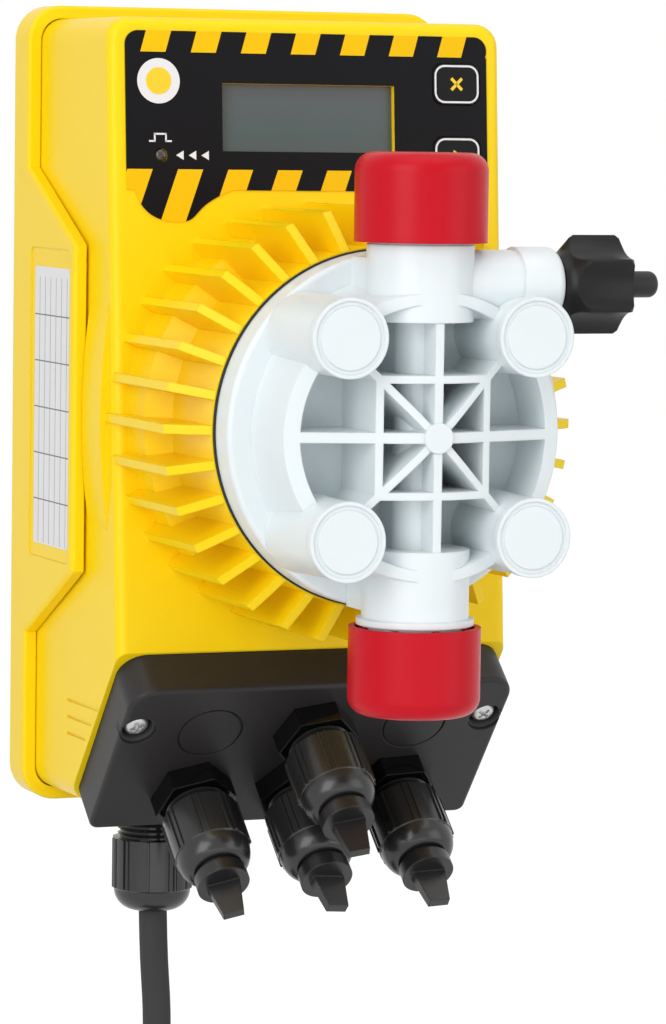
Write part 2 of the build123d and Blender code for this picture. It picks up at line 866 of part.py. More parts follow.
with BuildPart() as bolt_caps:
    with BuildSketch(front_plane(post_front_depth)):
        with Locations(*post_spots):
            Circle(cap_radius)
    extrude(amount=cap_front_depth - post_front_depth)
    with BuildSketch(front_plane(cap_front_depth)):
        with Locations(*post_spots):
            Circle(cap_radius - cap_rim)
            Circle(cap_radius - 2 * cap_rim, mode=Mode.SUBTRACT)
    extrude(amount=-cap_recess, mode=Mode.SUBTRACT)
    with BuildSketch(front_plane(post_front_depth)):
        with Locations(*post_spots):
            Circle(post_counterbore - cartridge_gap)
    extrude(amount=-cap_stem_length)
save(bolt_caps, "bolt_caps")


# ============================================================ valve cartridges
ball_rest = sqrt((ball_radius + ball_clearance) ** 2 - seat_bore ** 2)
cage_stop = ball_rest + ball_radius + ball_lift + stroke_margin


def valve_cartridge(name, bottom_z):
    """Seat, ball and cage of a valve whose seat begins at bottom_z, with a groove for its sealing ring."""
    seat_base = Plane(origin=(0, -valve_depth, bottom_z))
    seal_middle = seat_base.offset(seat_height / 2)
    with BuildPart() as seat:
        with BuildSketch(seat_base):
            Circle(valve_bore - cartridge_gap)
            Circle(seat_bore, mode=Mode.SUBTRACT)
        extrude(amount=seat_height)
        with BuildSketch(seal_middle.offset(-ring_seal_wire / 2 - cartridge_gap)):
            Circle(valve_bore)
            Circle(valve_bore - 2 * cartridge_gap - ring_seal_wire, mode=Mode.SUBTRACT)
        extrude(amount=ring_seal_wire + 2 * cartridge_gap, mode=Mode.SUBTRACT)
    save(seat, f"{name}_seat")
    with BuildPart() as ball:
        with Locations(seat_base.offset(seat_height + ball_rest)):
            Sphere(ball_radius)
    save(ball, f"{name}_ball")
    with BuildPart() as cage:
        with BuildSketch(seat_base.offset(seat_height)):
            Circle(valve_bore - cartridge_gap)
            Circle(cage_bore, mode=Mode.SUBTRACT)
        extrude(amount=cage_height)
        with BuildSketch(seat_base.offset(seat_height + cage_stop)):
            Rectangle(2 * cage_bore + cage_bar, cage_bar)
            Rectangle(cage_bar, 2 * cage_bore + cage_bar)
        extrude(amount=cage_height - cage_stop)
    save(cage, f"{name}_cage")


discharge_start = valve_bore_end
suction_start = -valve_bore_end - cage_height - seat_height
valve_cartridge("discharge", discharge_start)
valve_cartridge("suction", suction_start)

with BuildPart() as valve_seals:
    for start in (discharge_start, suction_start):
        with BuildSketch(Plane(origin=(0, -valve_depth, start + (seat_height - ring_seal_wire) / 2))):
            Circle(valve_bore - cartridge_gap)
            Circle(valve_bore - cartridge_gap - ring_seal_wire, mode=Mode.SUBTRACT)
        extrude(amount=ring_seal_wire)
save(valve_seals, "valve_seals")

# ============================================================== transport caps
for cap_name, side in (("discharge_cap", 1), ("suction_cap", -1)):
    cap_mouth = Plane(origin=(0, -valve_depth, side * bung_mouth), x_dir=(1, 0, 0), z_dir=(0, 0, side))
    with BuildPart() as transport_cap:
        with BuildSketch(cap_mouth):
            Circle(bung_radius)
        extrude(amount=bung_height)
        fillet(transport_cap.faces().sort_by(Axis.Z)[-1 if side > 0 else 0].edges(), bung_round)
        with BuildSketch(cap_mouth):
            Circle(bung_radius - bung_wall)
        extrude(amount=bung_height - bung_wall - bung_round, mode=Mode.SUBTRACT)
        with BuildSketch(cap_mouth):
            Circle(valve_thread_radius + cartridge_gap)
        extrude(amount=bung_height - bung_wall, mode=Mode.SUBTRACT)
        # ribs inside that grip the thread
        with BuildSketch(cap_mouth):
            with PolarLocations(0, bung_ribs):
                Rectangle(bung_radius - bung_wall / 2, bung_wall, align=(Align.MIN, Align.CENTER))
            Circle(valve_thread_radius + cartridge_gap, mode=Mode.SUBTRACT)
        extrude(amount=bung_height - bung_wall - bung_round + cut_past)
    save(transport_cap, cap_name)

# ================================================================= bleed valve
with BuildPart() as vent_sleeve:
    with BuildSketch(vent_plane.offset(vent_tube_end)):
        Circle(sleeve_radius)
    extrude(amount=sleeve_end - vent_tube_end)
    fillet(vent_sleeve.faces().sort_by(Axis.X)[-1].edges(), sleeve_round)
    with BuildSketch(vent_plane.offset(vent_tube_end)):
        Circle(vent_bore - cartridge_gap)
    extrude(amount=-sleeve_spigot)
    with BuildSketch(vent_plane.offset(vent_seat_x)):
        Circle(needle_radius + needle_gap)
    extrude(amount=sleeve_end - vent_seat_x, mode=Mode.SUBTRACT)
save(vent_sleeve, "vent_sleeve")

needle_shoulder = vent_seat_x + needle_tip_gap
needle_end = knob_flare_x + needle_grip
with BuildPart() as vent_needle:
    with BuildSketch(vent_plane.offset(needle_shoulder)):
        Circle(needle_radius)
    extrude(amount=needle_end - needle_shoulder)
    with BuildSketch(vent_plane.offset(needle_shoulder)):
        Circle(needle_radius)
    extrude(amount=-needle_tip_length, taper=needle_tip_taper)
save(vent_needle, "vent_needle")

with BuildPart() as vent_knob:
    knob_start = sleeve_end + knob_gap
    with BuildSketch(Plane(origin=(0, -valve_depth, vent_z))):
        Polygon(
            (knob_start, 0),
            (knob_start, knob_neck_radius),
            (knob_start + knob_edge, knob_neck_radius),
            (knob_flare_x, knob_radius),
            (knob_end - knob_edge, knob_radius),
            (knob_end, knob_radius - knob_edge),
            (knob_end, 0),
            align=None,
        )
    revolve(axis=Axis((0, -valve_depth, vent_z), (1, 0, 0)))
    with BuildSketch(vent_plane.offset(knob_start + knob_edge)):
        with PolarLocations(knob_radius + knob_notch / 2, knob_lobes, start_angle=180 / knob_lobes):
            Circle(knob_notch)
    extrude(amount=knob_end - knob_start, mode=Mode.SUBTRACT)
    with BuildSketch(vent_plane.offset(knob_start)):
        Circle(needle_radius + needle_gap)
    extrude(amount=needle_end + cut_past - knob_start, mode=Mode.SUBTRACT)
    with BuildSketch(vent_plane.offset(knob_end)):
        Circle(nozzle_radius)
    extrude(amount=-nozzle_root, mode=Mode.SUBTRACT)
save(vent_knob, "vent_knob")

with BuildPart() as bleed_nozzle:
    with BuildSketch(vent_plane.offset(knob_end - nozzle_root)):
        Circle(nozzle_radius - cartridge_gap)
    extrude(amount=nozzle_end - knob_end + nozzle_root)
    fillet(bleed_nozzle.faces().sort_by(Axis.X)[-1].edges(), nozzle_round)
    with BuildSketch(vent_plane.offset(nozzle_end)):
        Circle(nozzle_bore)
    extrude(amount=knob_end - nozzle_root - nozzle_end, mode=Mode.SUBTRACT)
save(bleed_nozzle, "bleed_nozzle")

# ============================================================ operating panel
with BuildPart() as panel_overlay:
    with BuildSketch(face_plane) as overlay_outline:
        with BuildLine():
            Polyline((panel_left, on_face(panel_bottom)), (panel_left, on_face(panel_top)))
            Polyline((panel_left, on_face(panel_top)), (panel_right, on_face(panel_top)))
            Polyline((panel_right, on_face(panel_top)), (panel_right, on_face(panel_bottom)))
            for side in (-1, 1):
                Polyline(
                    (side * panel_right, on_face(panel_bottom)),
                    (side * lobe_outer, on_face(panel_bottom)),
                )
                Spline(
                    (side * lobe_outer, on_face(panel_bottom)),
                    (side * lobe_flat_outer, on_face(lobe_low)),
                    (side * lobe_flat_inner, on_face(lobe_low)),
                    (side * lobe_inner, on_face(panel_bottom)),
                    tangents=((-side * lobe_lean, -1), (-side, lobe_lean)),
                )
            Polyline((-lobe_inner, on_face(panel_bottom)), (lobe_inner, on_face(panel_bottom)))
        make_face()
        fillet(overlay_outline.vertices().group_by(Axis.Y)[-1], panel_corner)
        with Locations((0, on_face(window_z))):
            Rectangle(window_width, window_height, mode=Mode.SUBTRACT)
        with Locations((key_x, on_face(escape_key_z)), (key_x, on_face(start_key_z))):
            RectangleRounded(
                key_width + 2 * key_gap,
                key_height + 2 * key_gap,
                key_corner,
                mode=Mode.SUBTRACT,
            )
        with Locations(*[(x, on_face(arrow_key_z)) for x in arrow_key_x]):
            Circle(arrow_key_size / 2 + key_gap, mode=Mode.SUBTRACT)
        with Locations((lamp_x, on_face(lamp_z))):
            Circle(lamp_radius + key_gap, mode=Mode.SUBTRACT)
    extrude(amount=panel_film)
save(panel_overlay, "panel_overlay")

with BuildPart() as display_window:
    with BuildSketch(face_plane.offset(-window_recess)):
        with Locations((0, on_face(window_z))):
            Rectangle(window_width - 2 * cartridge_gap, window_height - 2 * cartridge_gap)
    extrude(amount=-window_thickness)
save(display_window, "display_window")

board_front = board_offset - board_thickness
with BuildPart() as display_module:
    with BuildSketch(face_plane.offset(-face_wall - fit_gap)):
        with Locations((0, on_face(window_z))):
            Rectangle(display_width, display_height)
    extrude(amount=-board_front + face_wall + fit_gap + board_thickness)
save(display_module, "display_module")

with BuildPart() as status_led:
    with BuildSketch(face_plane.offset(-board_offset + board_thickness)):
        with Locations((lamp_x, on_face(lamp_z))):
            Circle(lamp_radius)
    extrude(amount=board_offset - board_thickness + lamp_proud)
    fillet(status_led.faces().sort_by(Axis.Y)[0].edges(), lamp_round)
save(status_led, "status_led")

key_spots = {
    "escape_key": (key_x, escape_key_z),
    "start_key": (key_x, start_key_z),
    "down_key": (arrow_key_x[0], arrow_key_z),
    "up_key": (arrow_key_x[1], arrow_key_z),
}
switch_top = -face_wall - key_gap - key_lip_thickness - key_travel - key_gap
with BuildPart() as control_board:
    with BuildSketch(face_plane.offset(-board_offset)):
        with Locations((0, on_face((board_low + board_high) / 2))):
            Rectangle(board_width, board_high - board_low)
    extrude(amount=board_thickness)
    with BuildSketch(face_plane.offset(-board_offset + board_thickness)):
        with Locations(*[(x, on_face(z)) for x, z in key_spots.values()]):
            Rectangle(switch_size, switch_size)
    extrude(amount=board_offset - board_thickness + switch_top)
    with BuildSketch(face_plane.offset(-board_offset)):
        with Locations((0, on_face(window_z))):
            Rectangle(display_width + 2 * fit_gap, display_height + 2 * fit_gap)
        with Locations((lamp_x, on_face(lamp_z))):
            Circle(lamp_radius + fit_gap)
    extrude(amount=board_thickness, mode=Mode.SUBTRACT)
save(control_board, "control_board")

for key_name, (x, z) in key_spots.items():
    wide = key_name in ("escape_key", "start_key")
    with BuildPart() as key:
        for margin, low, high in (
            (0, -face_wall - key_gap, key_proud + panel_film),
            (key_lip, -face_wall - key_gap - key_lip_thickness, -face_wall - key_gap),
        ):
            with BuildSketch(face_plane.offset(low)):
                with Locations((x, on_face(z))):
                    if wide:
                        RectangleRounded(key_width + 2 * margin, key_height + 2 * margin, key_corner + margin)
                    else:
                        Circle(arrow_key_size / 2 + margin)
            extrude(amount=high - low)
        fillet(key.faces().sort_by(Axis.Y)[0].edges(), key_crown)
    save(key, key_name)

# ============================================================ terminal housing
with BuildPart() as terminal_seal:
    with BuildSketch(seat_plane) as seal_outline:
        Rectangle(cover_width - 2 * fit_gap, cover_length, align=(Align.CENTER, Align.MAX))
        fillet(seal_outline.vertices().group_by(Axis.Y)[-1], cover_top_corner)
        fillet(seal_outline.vertices().group_by(Axis.Y)[0], cover_bottom_corner)
        offset(amount=-cover_wall, mode=Mode.SUBTRACT)
    extrude(amount=seal_thickness)
save(terminal_seal, "terminal_seal")

cover_height = cover_thickness - seal_thickness
gland_spots = {
    "left": (-gland_pitch, -gland_row_two),
    "middle": (0, -gland_row_two),
    "right": (gland_pitch, -gland_row_two),
    "upper": (0, -gland_row_one),
}
with BuildPart() as terminal_cover:
    with BuildSketch(seat_plane.offset(seal_thickness)) as cover_outline:
        Rectangle(cover_width, cover_length, align=(Align.CENTER, Align.MAX))
        fillet(cover_outline.vertices().group_by(Axis.Y)[-1], cover_top_corner)
        fillet(cover_outline.vertices().group_by(Axis.Y)[0], cover_bottom_corner)
    extrude(amount=cover_height)
    cover_face = terminal_cover.faces().filter_by(lambda f: f.normal_at().dot(seat_plane.z_dir) > 0.999)
    fillet(cover_face.edges(), cover_edge)
    with BuildSketch(seat_plane.offset(seal_thickness)) as cover_hollow:
        with Locations((0, -cover_length / 2)):
            RectangleRounded(
                cover_width - 2 * cover_wall,
                cover_length - 2 * cover_wall,
                cover_top_corner - cover_wall,
            )
        with GridLocations(2 * cover_screw_x, 2 * cover_screw_down, 2, 2):
            Circle(cover_screw_recess + cover_edge, mode=Mode.SUBTRACT)
    extrude(amount=cover_height - cover_wall, mode=Mode.SUBTRACT)
    with Locations(cover_plane):
        with Locations(*gland_spots.values()):
            Hole(gland_shank + cartridge_gap, depth=cover_thickness)
    with BuildSketch(cover_plane):
        with Locations((-gland_pitch, -gland_row_one), (gland_pitch, -gland_row_one)):
            Circle(knockout_radius)
            Circle(knockout_radius - knockout_groove, mode=Mode.SUBTRACT)
    extrude(amount=-knockout_groove, mode=Mode.SUBTRACT)
    with BuildSketch(cover_plane):
        with Locations(*cover_screw_spots):
            Circle(cover_screw_recess)
    extrude(amount=-cover_screw_recess_depth, mode=Mode.SUBTRACT)
    with Locations(cover_plane):
        with Locations(*cover_screw_spots):
            Hole(cover_screw / 2 + cartridge_gap, depth=cover_thickness)
save(terminal_cover, "terminal_cover")

with BuildPart() as terminal_cover_screws:
    with BuildSketch(cover_plane.offset(-cover_screw_recess_depth)):
        with Locations(*cover_screw_spots):
            Circle(cover_screw_head / 2)
    extrude(amount=cover_screw_head_height)
    with BuildSketch(cover_plane.offset(-cover_screw_recess_depth)):
        with Locations(*cover_screw_spots):
            Circle(cover_screw / 2)
    extrude(amount=cover_screw_recess_depth - cover_thickness - cover_screw_grip)
save(terminal_cover_screws, "terminal_cover_screws")

with BuildPart() as terminal_block:
    with BuildSketch(front_plane(rear_floor)):
        with Locations((0, terminal_z)):
            Rectangle(terminal_width, terminal_height)
    extrude(amount=terminal_depth)
    with BuildSketch(front_plane(rear_floor + terminal_depth)):
        with Locations((0, terminal_z)):
            with GridLocations(terminal_width / terminal_ways, 0, terminal_ways, 1):
                Circle(terminal_screw / 2)
    extrude(amount=-terminal_depth / 2, mode=Mode.SUBTRACT)
save(terminal_block, "terminal_block")

# ================================================================ cable glands
for place, (x, down), turn in zip(gland_spots, gland_spots.values(), gland_turns):
    gland_plane = Plane(cover_plane * Location((x, down, 0), (0, 0, turn)))
    with BuildPart() as gland_body:
        with BuildSketch(gland_plane):
            RegularPolygon(gland_hex / 2, 6, major_radius=False)
        extrude(amount=gland_hex_height)
        with BuildSketch(gland_plane.offset(-gland_shank_length)):
            Circle(gland_shank)
        extrude(amount=gland_shank_length + gland_neck_end)
        with BuildSketch(gland_plane.offset(-gland_shank_length)):
            Circle(gland_mouth)
        extrude(amount=gland_shank_length + gland_neck_end, mode=Mode.SUBTRACT)
    save(gland_body, f"gland_body_{place}")
    with BuildPart() as gland_nut:
        with BuildSketch(gland_plane.offset(gland_nut_start)):
            RegularPolygon(gland_nut_radius, gland_nut_flats)
        extrude(amount=gland_nut_length)
        with BuildSketch(gland_plane.offset(gland_nut_start + gland_nut_length)):
            Circle(gland_nut_radius - nut_edge)
        extrude(amount=gland_dome_length, taper=gland_dome_taper)
        with BuildSketch(gland_plane.offset(gland_nut_start)):
            Circle(gland_shank + cartridge_gap)
        extrude(amount=gland_neck_end + fit_gap - gland_nut_start, mode=Mode.SUBTRACT)
        with BuildSketch(gland_plane.offset(gland_nut_start)):
            Circle(gland_mouth)
        extrude(amount=gland_nut_length + gland_dome_length, mode=Mode.SUBTRACT)
    save(gland_nut, f"gland_nut_{place}")
    with BuildPart() as gland_plug:
        with BuildSketch(gland_plane.offset(gland_hex_height)):
            Circle(plug_stem)
        extrude(amount=plug_disc_start - gland_hex_height)
        with BuildSketch(gland_plane.offset(plug_disc_start)):
            Circle(plug_disc)
        extrude(amount=plug_disc_height)
        with BuildSketch(gland_plane.offset(plug_disc_start + plug_disc_height)):
            Rectangle(plug_wing_width, plug_wing_thickness)
        with BuildSketch(gland_plane.offset(plug_disc_start + plug_disc_height + plug_wing_length)):
            Rectangle(plug_wing_tip, plug_wing_tip_thickness)
        loft()
    save(gland_plug, f"gland_plug_{place}")

with BuildPart() as gland_locknuts:
    with BuildSketch(cover_plane.offset(-cover_wall)):
        with Locations(*gland_spots.values()):
            RegularPolygon(locknut_hex / 2, 6, major_radius=False)
            Circle(gland_shank + cartridge_gap, mode=Mode.SUBTRACT)
    extrude(amount=-locknut_height)
save(gland_locknuts, "gland_locknuts")

# ================================================= mains gland, lead and plug
mains_plane = Plane(origin=(mains_x, -mains_depth, front_bottom_z), x_dir=(1, 0, 0), z_dir=(0, 0, -1))
with BuildPart() as mains_gland_body:
    with BuildSketch(mains_plane):
        RegularPolygon(mains_hex / 2, 6, major_radius=False)
    extrude(amount=mains_hex_height)
    with BuildSketch(mains_plane.offset(-2 * front_wall - locknut_height)):
        Circle(mains_neck)
    extrude(amount=2 * front_wall + locknut_height + mains_neck_length)
    with BuildSketch(mains_plane.offset(-2 * front_wall - locknut_height)):
        Circle(lead_diameter / 2 + fit_gap)
    extrude(amount=2 * front_wall + locknut_height + mains_neck_length, mode=Mode.SUBTRACT)
save(mains_gland_body, "mains_gland_body")

with BuildPart() as mains_gland_nut:
    with BuildSketch(mains_plane.offset(mains_nut_start)):
        RegularPolygon(mains_nut_radius, gland_nut_flats)
    extrude(amount=mains_nut_length)
    with BuildSketch(mains_plane.offset(mains_nut_start + mains_nut_length)):
        Circle(mains_nut_radius - nut_edge)
    extrude(amount=mains_dome_length, taper=gland_dome_taper)
    with BuildSketch(mains_plane.offset(mains_nut_start)):
        Circle(mains_neck + cartridge_gap)
    extrude(amount=mains_neck_length + fit_gap - mains_nut_start, mode=Mode.SUBTRACT)
    with BuildSketch(mains_plane.offset(mains_nut_start)):
        Circle(lead_diameter / 2 + fit_gap)
    extrude(amount=mains_nut_length + mains_dome_length, mode=Mode.SUBTRACT)
save(mains_gland_nut, "mains_gland_nut")


def run_length(a, b):
    """Distance between two points of the lead's route."""
    return sqrt(sum((q - p) ** 2 for p, q in zip(a, b)))


def bend_radii(points):
    """The largest bend that fits each corner of a route made of straight runs."""
    radii = []
    for before, corner, after in zip(points, points[1:], points[2:]):
        inward = [(q - p) / run_length(before, corner) for p, q in zip(before, corner)]
        outward = [(q - p) / run_length(corner, after) for p, q in zip(corner, after)]
        cosine = sum(p * q for p, q in zip(inward, outward))
        half_turn_tangent = sqrt((1 - cosine) / (1 + cosine))
        shorter_run = min(run_length(before, corner), run_length(corner, after))
        radii.append(bend_share * shorter_run / half_turn_tangent)
    return radii


with BuildPart() as power_cord:
    with BuildLine():
        lead_path = FilletPolyline(*lead_points, radius=bend_radii(lead_points))
    with BuildSketch(Plane(origin=lead_path @ 0, z_dir=lead_path % 0)):
        Circle(lead_diameter / 2)
    sweep(path=lead_path)
save(power_cord, "power_cord")
section_by_length = pi * lead_diameter ** 2 / 4 * lead_path.length
print("lead bends", [round(r, 1) for r in bend_radii(lead_points)], "lead length", round(lead_path.length, 1))
print("lead volume", round(power_cord.part.volume), "section x length", round(section_by_length))

# the lead joins the coil's back turn at a tangent and leaves its front turn at the right side, going down
last_run = run_length(lead_points[-2], lead_points[-1])
join_x, join_z = [
    lead_points[-1][axis] - (lead_points[-1][axis] - lead_points[-2][axis]) * coil_joined_length / last_run
    for axis in (0, 2)
]
join_angle = atan2(lead_points[-1][0] - lead_points[-2][0], lead_points[-2][2] - lead_points[-1][2])
coil_x = join_x - coil_radius * cos(join_angle)
coil_z = join_z - coil_radius * sin(join_angle)
coil_travel = turn_pitch * (coil_turns + join_angle / (2 * pi))
coil_back_y = lead_points[-1][1] + lead_diameter / 2
coil_deep = coil_travel + lead_diameter
tail_y = lead_points[-1][1] - coil_travel
with BuildPart() as cord_coil:
    with BuildSketch(Plane(origin=(coil_x, coil_back_y - coil_deep / 2, coil_z))) as coil_section:
        with Locations((coil_radius, 0)):
            Rectangle(lead_diameter + fit_gap, coil_deep)
        chamfer(coil_section.vertices(), lead_diameter / 4)
    revolve(axis=Axis((coil_x, 0, coil_z), (0, 1, 0)))
save(cord_coil, "cord_coil")

tail_x = coil_x + coil_radius
with BuildPart() as plug_lead:
    with BuildSketch(Plane(origin=(tail_x, tail_y, coil_z), z_dir=(0, 0, -1))):
        Circle(lead_diameter / 2)
    extrude(amount=tail_length)
save(plug_lead, "plug_lead")

with BuildPart() as cord_tie:
    tie_plane = Plane(
        origin=(
            coil_x - coil_radius * cos(tie_angle),
            coil_back_y - coil_deep / 2,
            coil_z + coil_radius * sin(tie_angle),
        ),
        x_dir=(0, -1, 0),
        z_dir=(sin(tie_angle), 0, cos(tie_angle)),
    )
    with BuildSketch(tie_plane.offset(-tie_width / 2)):
        RectangleRounded(
            coil_deep + 2 * tie_thickness,
            lead_diameter + 2 * tie_thickness,
            lead_diameter / 2,
        )
        RectangleRounded(coil_deep, lead_diameter + fit_gap, lead_diameter / 2, mode=Mode.SUBTRACT)
    extrude(amount=tie_width)
save(cord_tie, "cord_tie")

plug_plane = Plane(origin=(tail_x, tail_y, coil_z - tail_length), x_dir=(1, 0, 0), z_dir=(0, 0, -1))
with BuildPart() as mains_plug:
    with BuildSketch(plug_plane.offset(-relief_length)):
        Circle(relief_radius)
    with BuildSketch(plug_plane):
        RectangleRounded(plug_body_thickness, plug_body_thickness, plug_corner)
    loft()
    with BuildSketch(plug_plane):
        RectangleRounded(plug_body_thickness, plug_body_thickness, plug_corner)
    with BuildSketch(plug_plane.offset(plug_body_length)):
        RectangleRounded(plug_body_width, plug_body_thickness, plug_corner)
    loft()
    with BuildSketch(plug_plane.offset(-relief_length)):
        Circle(lead_diameter / 2 + cartridge_gap)
    extrude(amount=relief_length, mode=Mode.SUBTRACT)
save(mains_plug, "mains_plug")

with BuildPart() as plug_pins:
    with BuildSketch(plug_plane.offset(plug_body_length)):
        with GridLocations(plug_pin_pitch, 0, 2, 1):
            Circle(plug_pin_radius)
    extrude(amount=plug_pin_length)
    chamfer(plug_pins.faces().sort_by(Axis.Z)[:2].edges(), plug_pin_radius / 2)
save(plug_pins, "plug_pins")
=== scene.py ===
"""Looks of a wall-mounted diaphragm metering pump: an add-on with one operator for each group of pieces.

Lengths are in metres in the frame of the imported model: +X to the right, +Y into the wall, +Z up.
"""
import json
import math

import bpy
from mathutils import Matrix, Vector


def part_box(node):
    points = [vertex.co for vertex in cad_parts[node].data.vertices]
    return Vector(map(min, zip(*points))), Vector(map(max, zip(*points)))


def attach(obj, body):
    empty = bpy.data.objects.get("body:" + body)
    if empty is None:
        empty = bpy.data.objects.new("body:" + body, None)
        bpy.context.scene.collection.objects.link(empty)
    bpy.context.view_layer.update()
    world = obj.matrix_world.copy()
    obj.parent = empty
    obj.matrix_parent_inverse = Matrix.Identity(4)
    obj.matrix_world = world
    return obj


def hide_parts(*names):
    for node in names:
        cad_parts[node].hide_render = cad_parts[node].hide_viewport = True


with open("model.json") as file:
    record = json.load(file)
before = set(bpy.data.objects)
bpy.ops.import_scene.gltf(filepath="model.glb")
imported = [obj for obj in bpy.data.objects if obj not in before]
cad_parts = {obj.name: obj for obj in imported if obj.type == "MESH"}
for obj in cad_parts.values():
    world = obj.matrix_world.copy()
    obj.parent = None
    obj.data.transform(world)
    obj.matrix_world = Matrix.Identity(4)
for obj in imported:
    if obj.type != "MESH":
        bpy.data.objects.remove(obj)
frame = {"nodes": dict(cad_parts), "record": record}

bl_info = {
    "name": "Metering pump",
    "version": (1, 0, 0),
    "blender": (4, 5, 0),
    "location": "View3D > Sidebar > Pump",
    "description": "Builds the finished look of a wall-mounted metering pump",
    "category": "Object",
}

MM = 0.001
# The tilted front face: its distance from the wall at Z 0, its tilt, the thickness of the film on it, and how
# far the marks on the film and on the keys lie from the face
FACE_DEPTH = 67.9 * MM
FACE_TILT = math.radians(4.12)
FILM = 0.35 * MM
FILM_MARK, KEY_MARK = FILM + 0.01 * MM, FILM + 0.36 * MM
# The sloping terminal cover: its slope, the upper edge of the slope it lies on, and its height above that
COVER_SLOPE = math.radians(40.24)
COVER_FOOT = Vector((0, -71.8, -59.4)) * MM
COVER_HEIGHT = 12.8 * MM
# The bleed valve: the distance of its axis from the wall and its height, and the X of its sleeve and knob
VENT_DEPTH, VENT_HEIGHT = 135.5 * MM, 36.3 * MM
SLEEVE_START, SLEEVE_END = 24.2 * MM, 35.2 * MM
KNOB_START, KNOB_END = 35.6 * MM, 52.8 * MM
# The mains gland under the case: X and Y of its axis
MAINS_X, MAINS_Y = -26.5 * MM, -25.0 * MM
# The lead from its gland to its coil: its control points in millimetres
LEAD_ROUTE = (
    (-26.5, -25.0, -108.0),
    (-26.5, -25.0, -138.0),
    (-24.2, -25.0, -166.0),
    (-23.6, -18.0, -192.0),
    (-11.6, -10.5, -213.8),
    (9.2, -7.0, -226.4),
)
# The middle of each key on the front face, as X and Z in millimetres
KEY_SPOTS = {"escape": (41.0, 85.0), "start": (41.0, 66.2), "down": (31.6, 54.2), "up": (40.4, 54.2)}
# The slanted stripes of the front film: their spacing and width, and for each band its slant, the height
# and X of its first edge, and its lower and upper limits, in millimetres
STRIPE_SPACING, STRIPE_WIDTH = 13.55 * MM, 6.75 * MM
STRIPE_BANDS = (
    (0.30, 96.8, -44.1, 91.9, 130.0),
    (0.37, 62.5, -49.4, 0.0, 62.5),
)


# ---------------------------------------------------------------- settings
class PUMP_PG_finishes(bpy.types.PropertyGroup):
    """Colours and textures of the moulded parts."""

    yellow: bpy.props.FloatVectorProperty(
        name="Housing yellow", description="Colour of both housings", subtype="COLOR", size=4,
        default=(1.0, 0.70, 0.003, 1.0),
    )
    black: bpy.props.FloatVectorProperty(
        name="Moulding black", description="Colour of the terminal cover", subtype="COLOR", size=4,
        default=(0.022, 0.020, 0.020, 1.0),
    )
    white: bpy.props.FloatVectorProperty(
        name="Head white", description="Colour of the pump head", subtype="COLOR", size=4,
        default=(0.79, 0.85, 0.865, 1.0),
    )
    red: bpy.props.FloatVectorProperty(
        name="Cap red", description="Colour of the transport caps", subtype="COLOR", size=4,
        default=(0.56, 0.005, 0.016, 1.0),
    )
    edge_radius: bpy.props.FloatProperty(
        name="Edge softness", description="Radius that moulded edges are shaded with", subtype="DISTANCE",
        default=0.5 * MM,
    )
    grain_size: bpy.props.FloatProperty(
        name="Grain size", description="Size of the moulded surface grain", subtype="DISTANCE",
        default=0.5 * MM,
    )


class PUMP_PG_lead(bpy.types.PropertyGroup):
    """Size and lay of the mains lead."""

    diameter: bpy.props.FloatProperty(
        name="Diameter", description="Outside diameter of the lead", subtype="DISTANCE",
        default=7.5 * MM,
    )
    coil_radius: bpy.props.FloatProperty(
        name="Coil radius", description="Radius of the middle of each turn", subtype="DISTANCE",
        default=41 * MM,
    )
    turn_pitch: bpy.props.FloatProperty(
        name="Turn pitch", description="Distance from one turn to the next", subtype="DISTANCE",
        default=7.6 * MM,
    )
    turns: bpy.props.IntProperty(name="Turns", description="Whole turns in the coil", default=5)
    points_per_turn: bpy.props.IntProperty(
        name="Points per turn", description="Control points in each turn of the coil", default=18,
    )
    tail: bpy.props.FloatProperty(
        name="Tail", description="Length from the coil to the plug", subtype="DISTANCE", default=50 * MM,
    )


class PUMP_PG_stage(bpy.types.PropertyGroup):
    """Camera and lights."""

    camera_place: bpy.props.FloatVectorProperty(
        name="Camera place", description="Where the camera stands", subtype="TRANSLATION", size=3,
        default=(-0.4352, -1.1404, 0.0764),
    )
    camera_target: bpy.props.FloatVectorProperty(
        name="Camera target", description="The point in the middle of the picture",
        subtype="TRANSLATION", size=3, default=(-0.01285, -0.1137, -0.02036),
    )
    camera_roll: bpy.props.FloatProperty(
        name="Camera roll", description="Turn of the camera about its own axis", subtype="ANGLE",
        default=math.radians(0.83),
    )
    focal_length: bpy.props.FloatProperty(
        name="Focal length", description="Lens, in millimetres on a 36 mm sensor", default=159.68,
    )
    floor_depth: bpy.props.FloatProperty(
        name="Floor height", description="Height of the studio floor", subtype="DISTANCE", default=-0.45,
    )
    key_power: bpy.props.FloatProperty(
        name="Key light", description="Power of the left softbox, in watts", default=11.6,
    )
    fill_power: bpy.props.FloatProperty(
        name="Fill light", description="Power of the right softbox, in watts", default=4.4,
    )
    top_power: bpy.props.FloatProperty(
        name="Top light", description="Power of the overhead softbox, in watts", default=4.2,
    )
    front_power: bpy.props.FloatProperty(
        name="Front light", description="Power of the low front softbox, in watts", default=3.1,
    )


# ---------------------------------------------------------------- node helpers
def new_group(name, inputs, outputs):
    """A shader node group with float, vector or colour sockets, and its input and output nodes."""
    group = bpy.data.node_groups.new(name, "ShaderNodeTree")
    for label, kind, value in inputs:
        socket = group.interface.new_socket(name=label, in_out="INPUT", socket_type=kind)
        socket.default_value = value
    for label, kind in outputs:
        group.interface.new_socket(name=label, in_out="OUTPUT", socket_type=kind)
    return group, group.nodes.new("NodeGroupInput"), group.nodes.new("NodeGroupOutput")


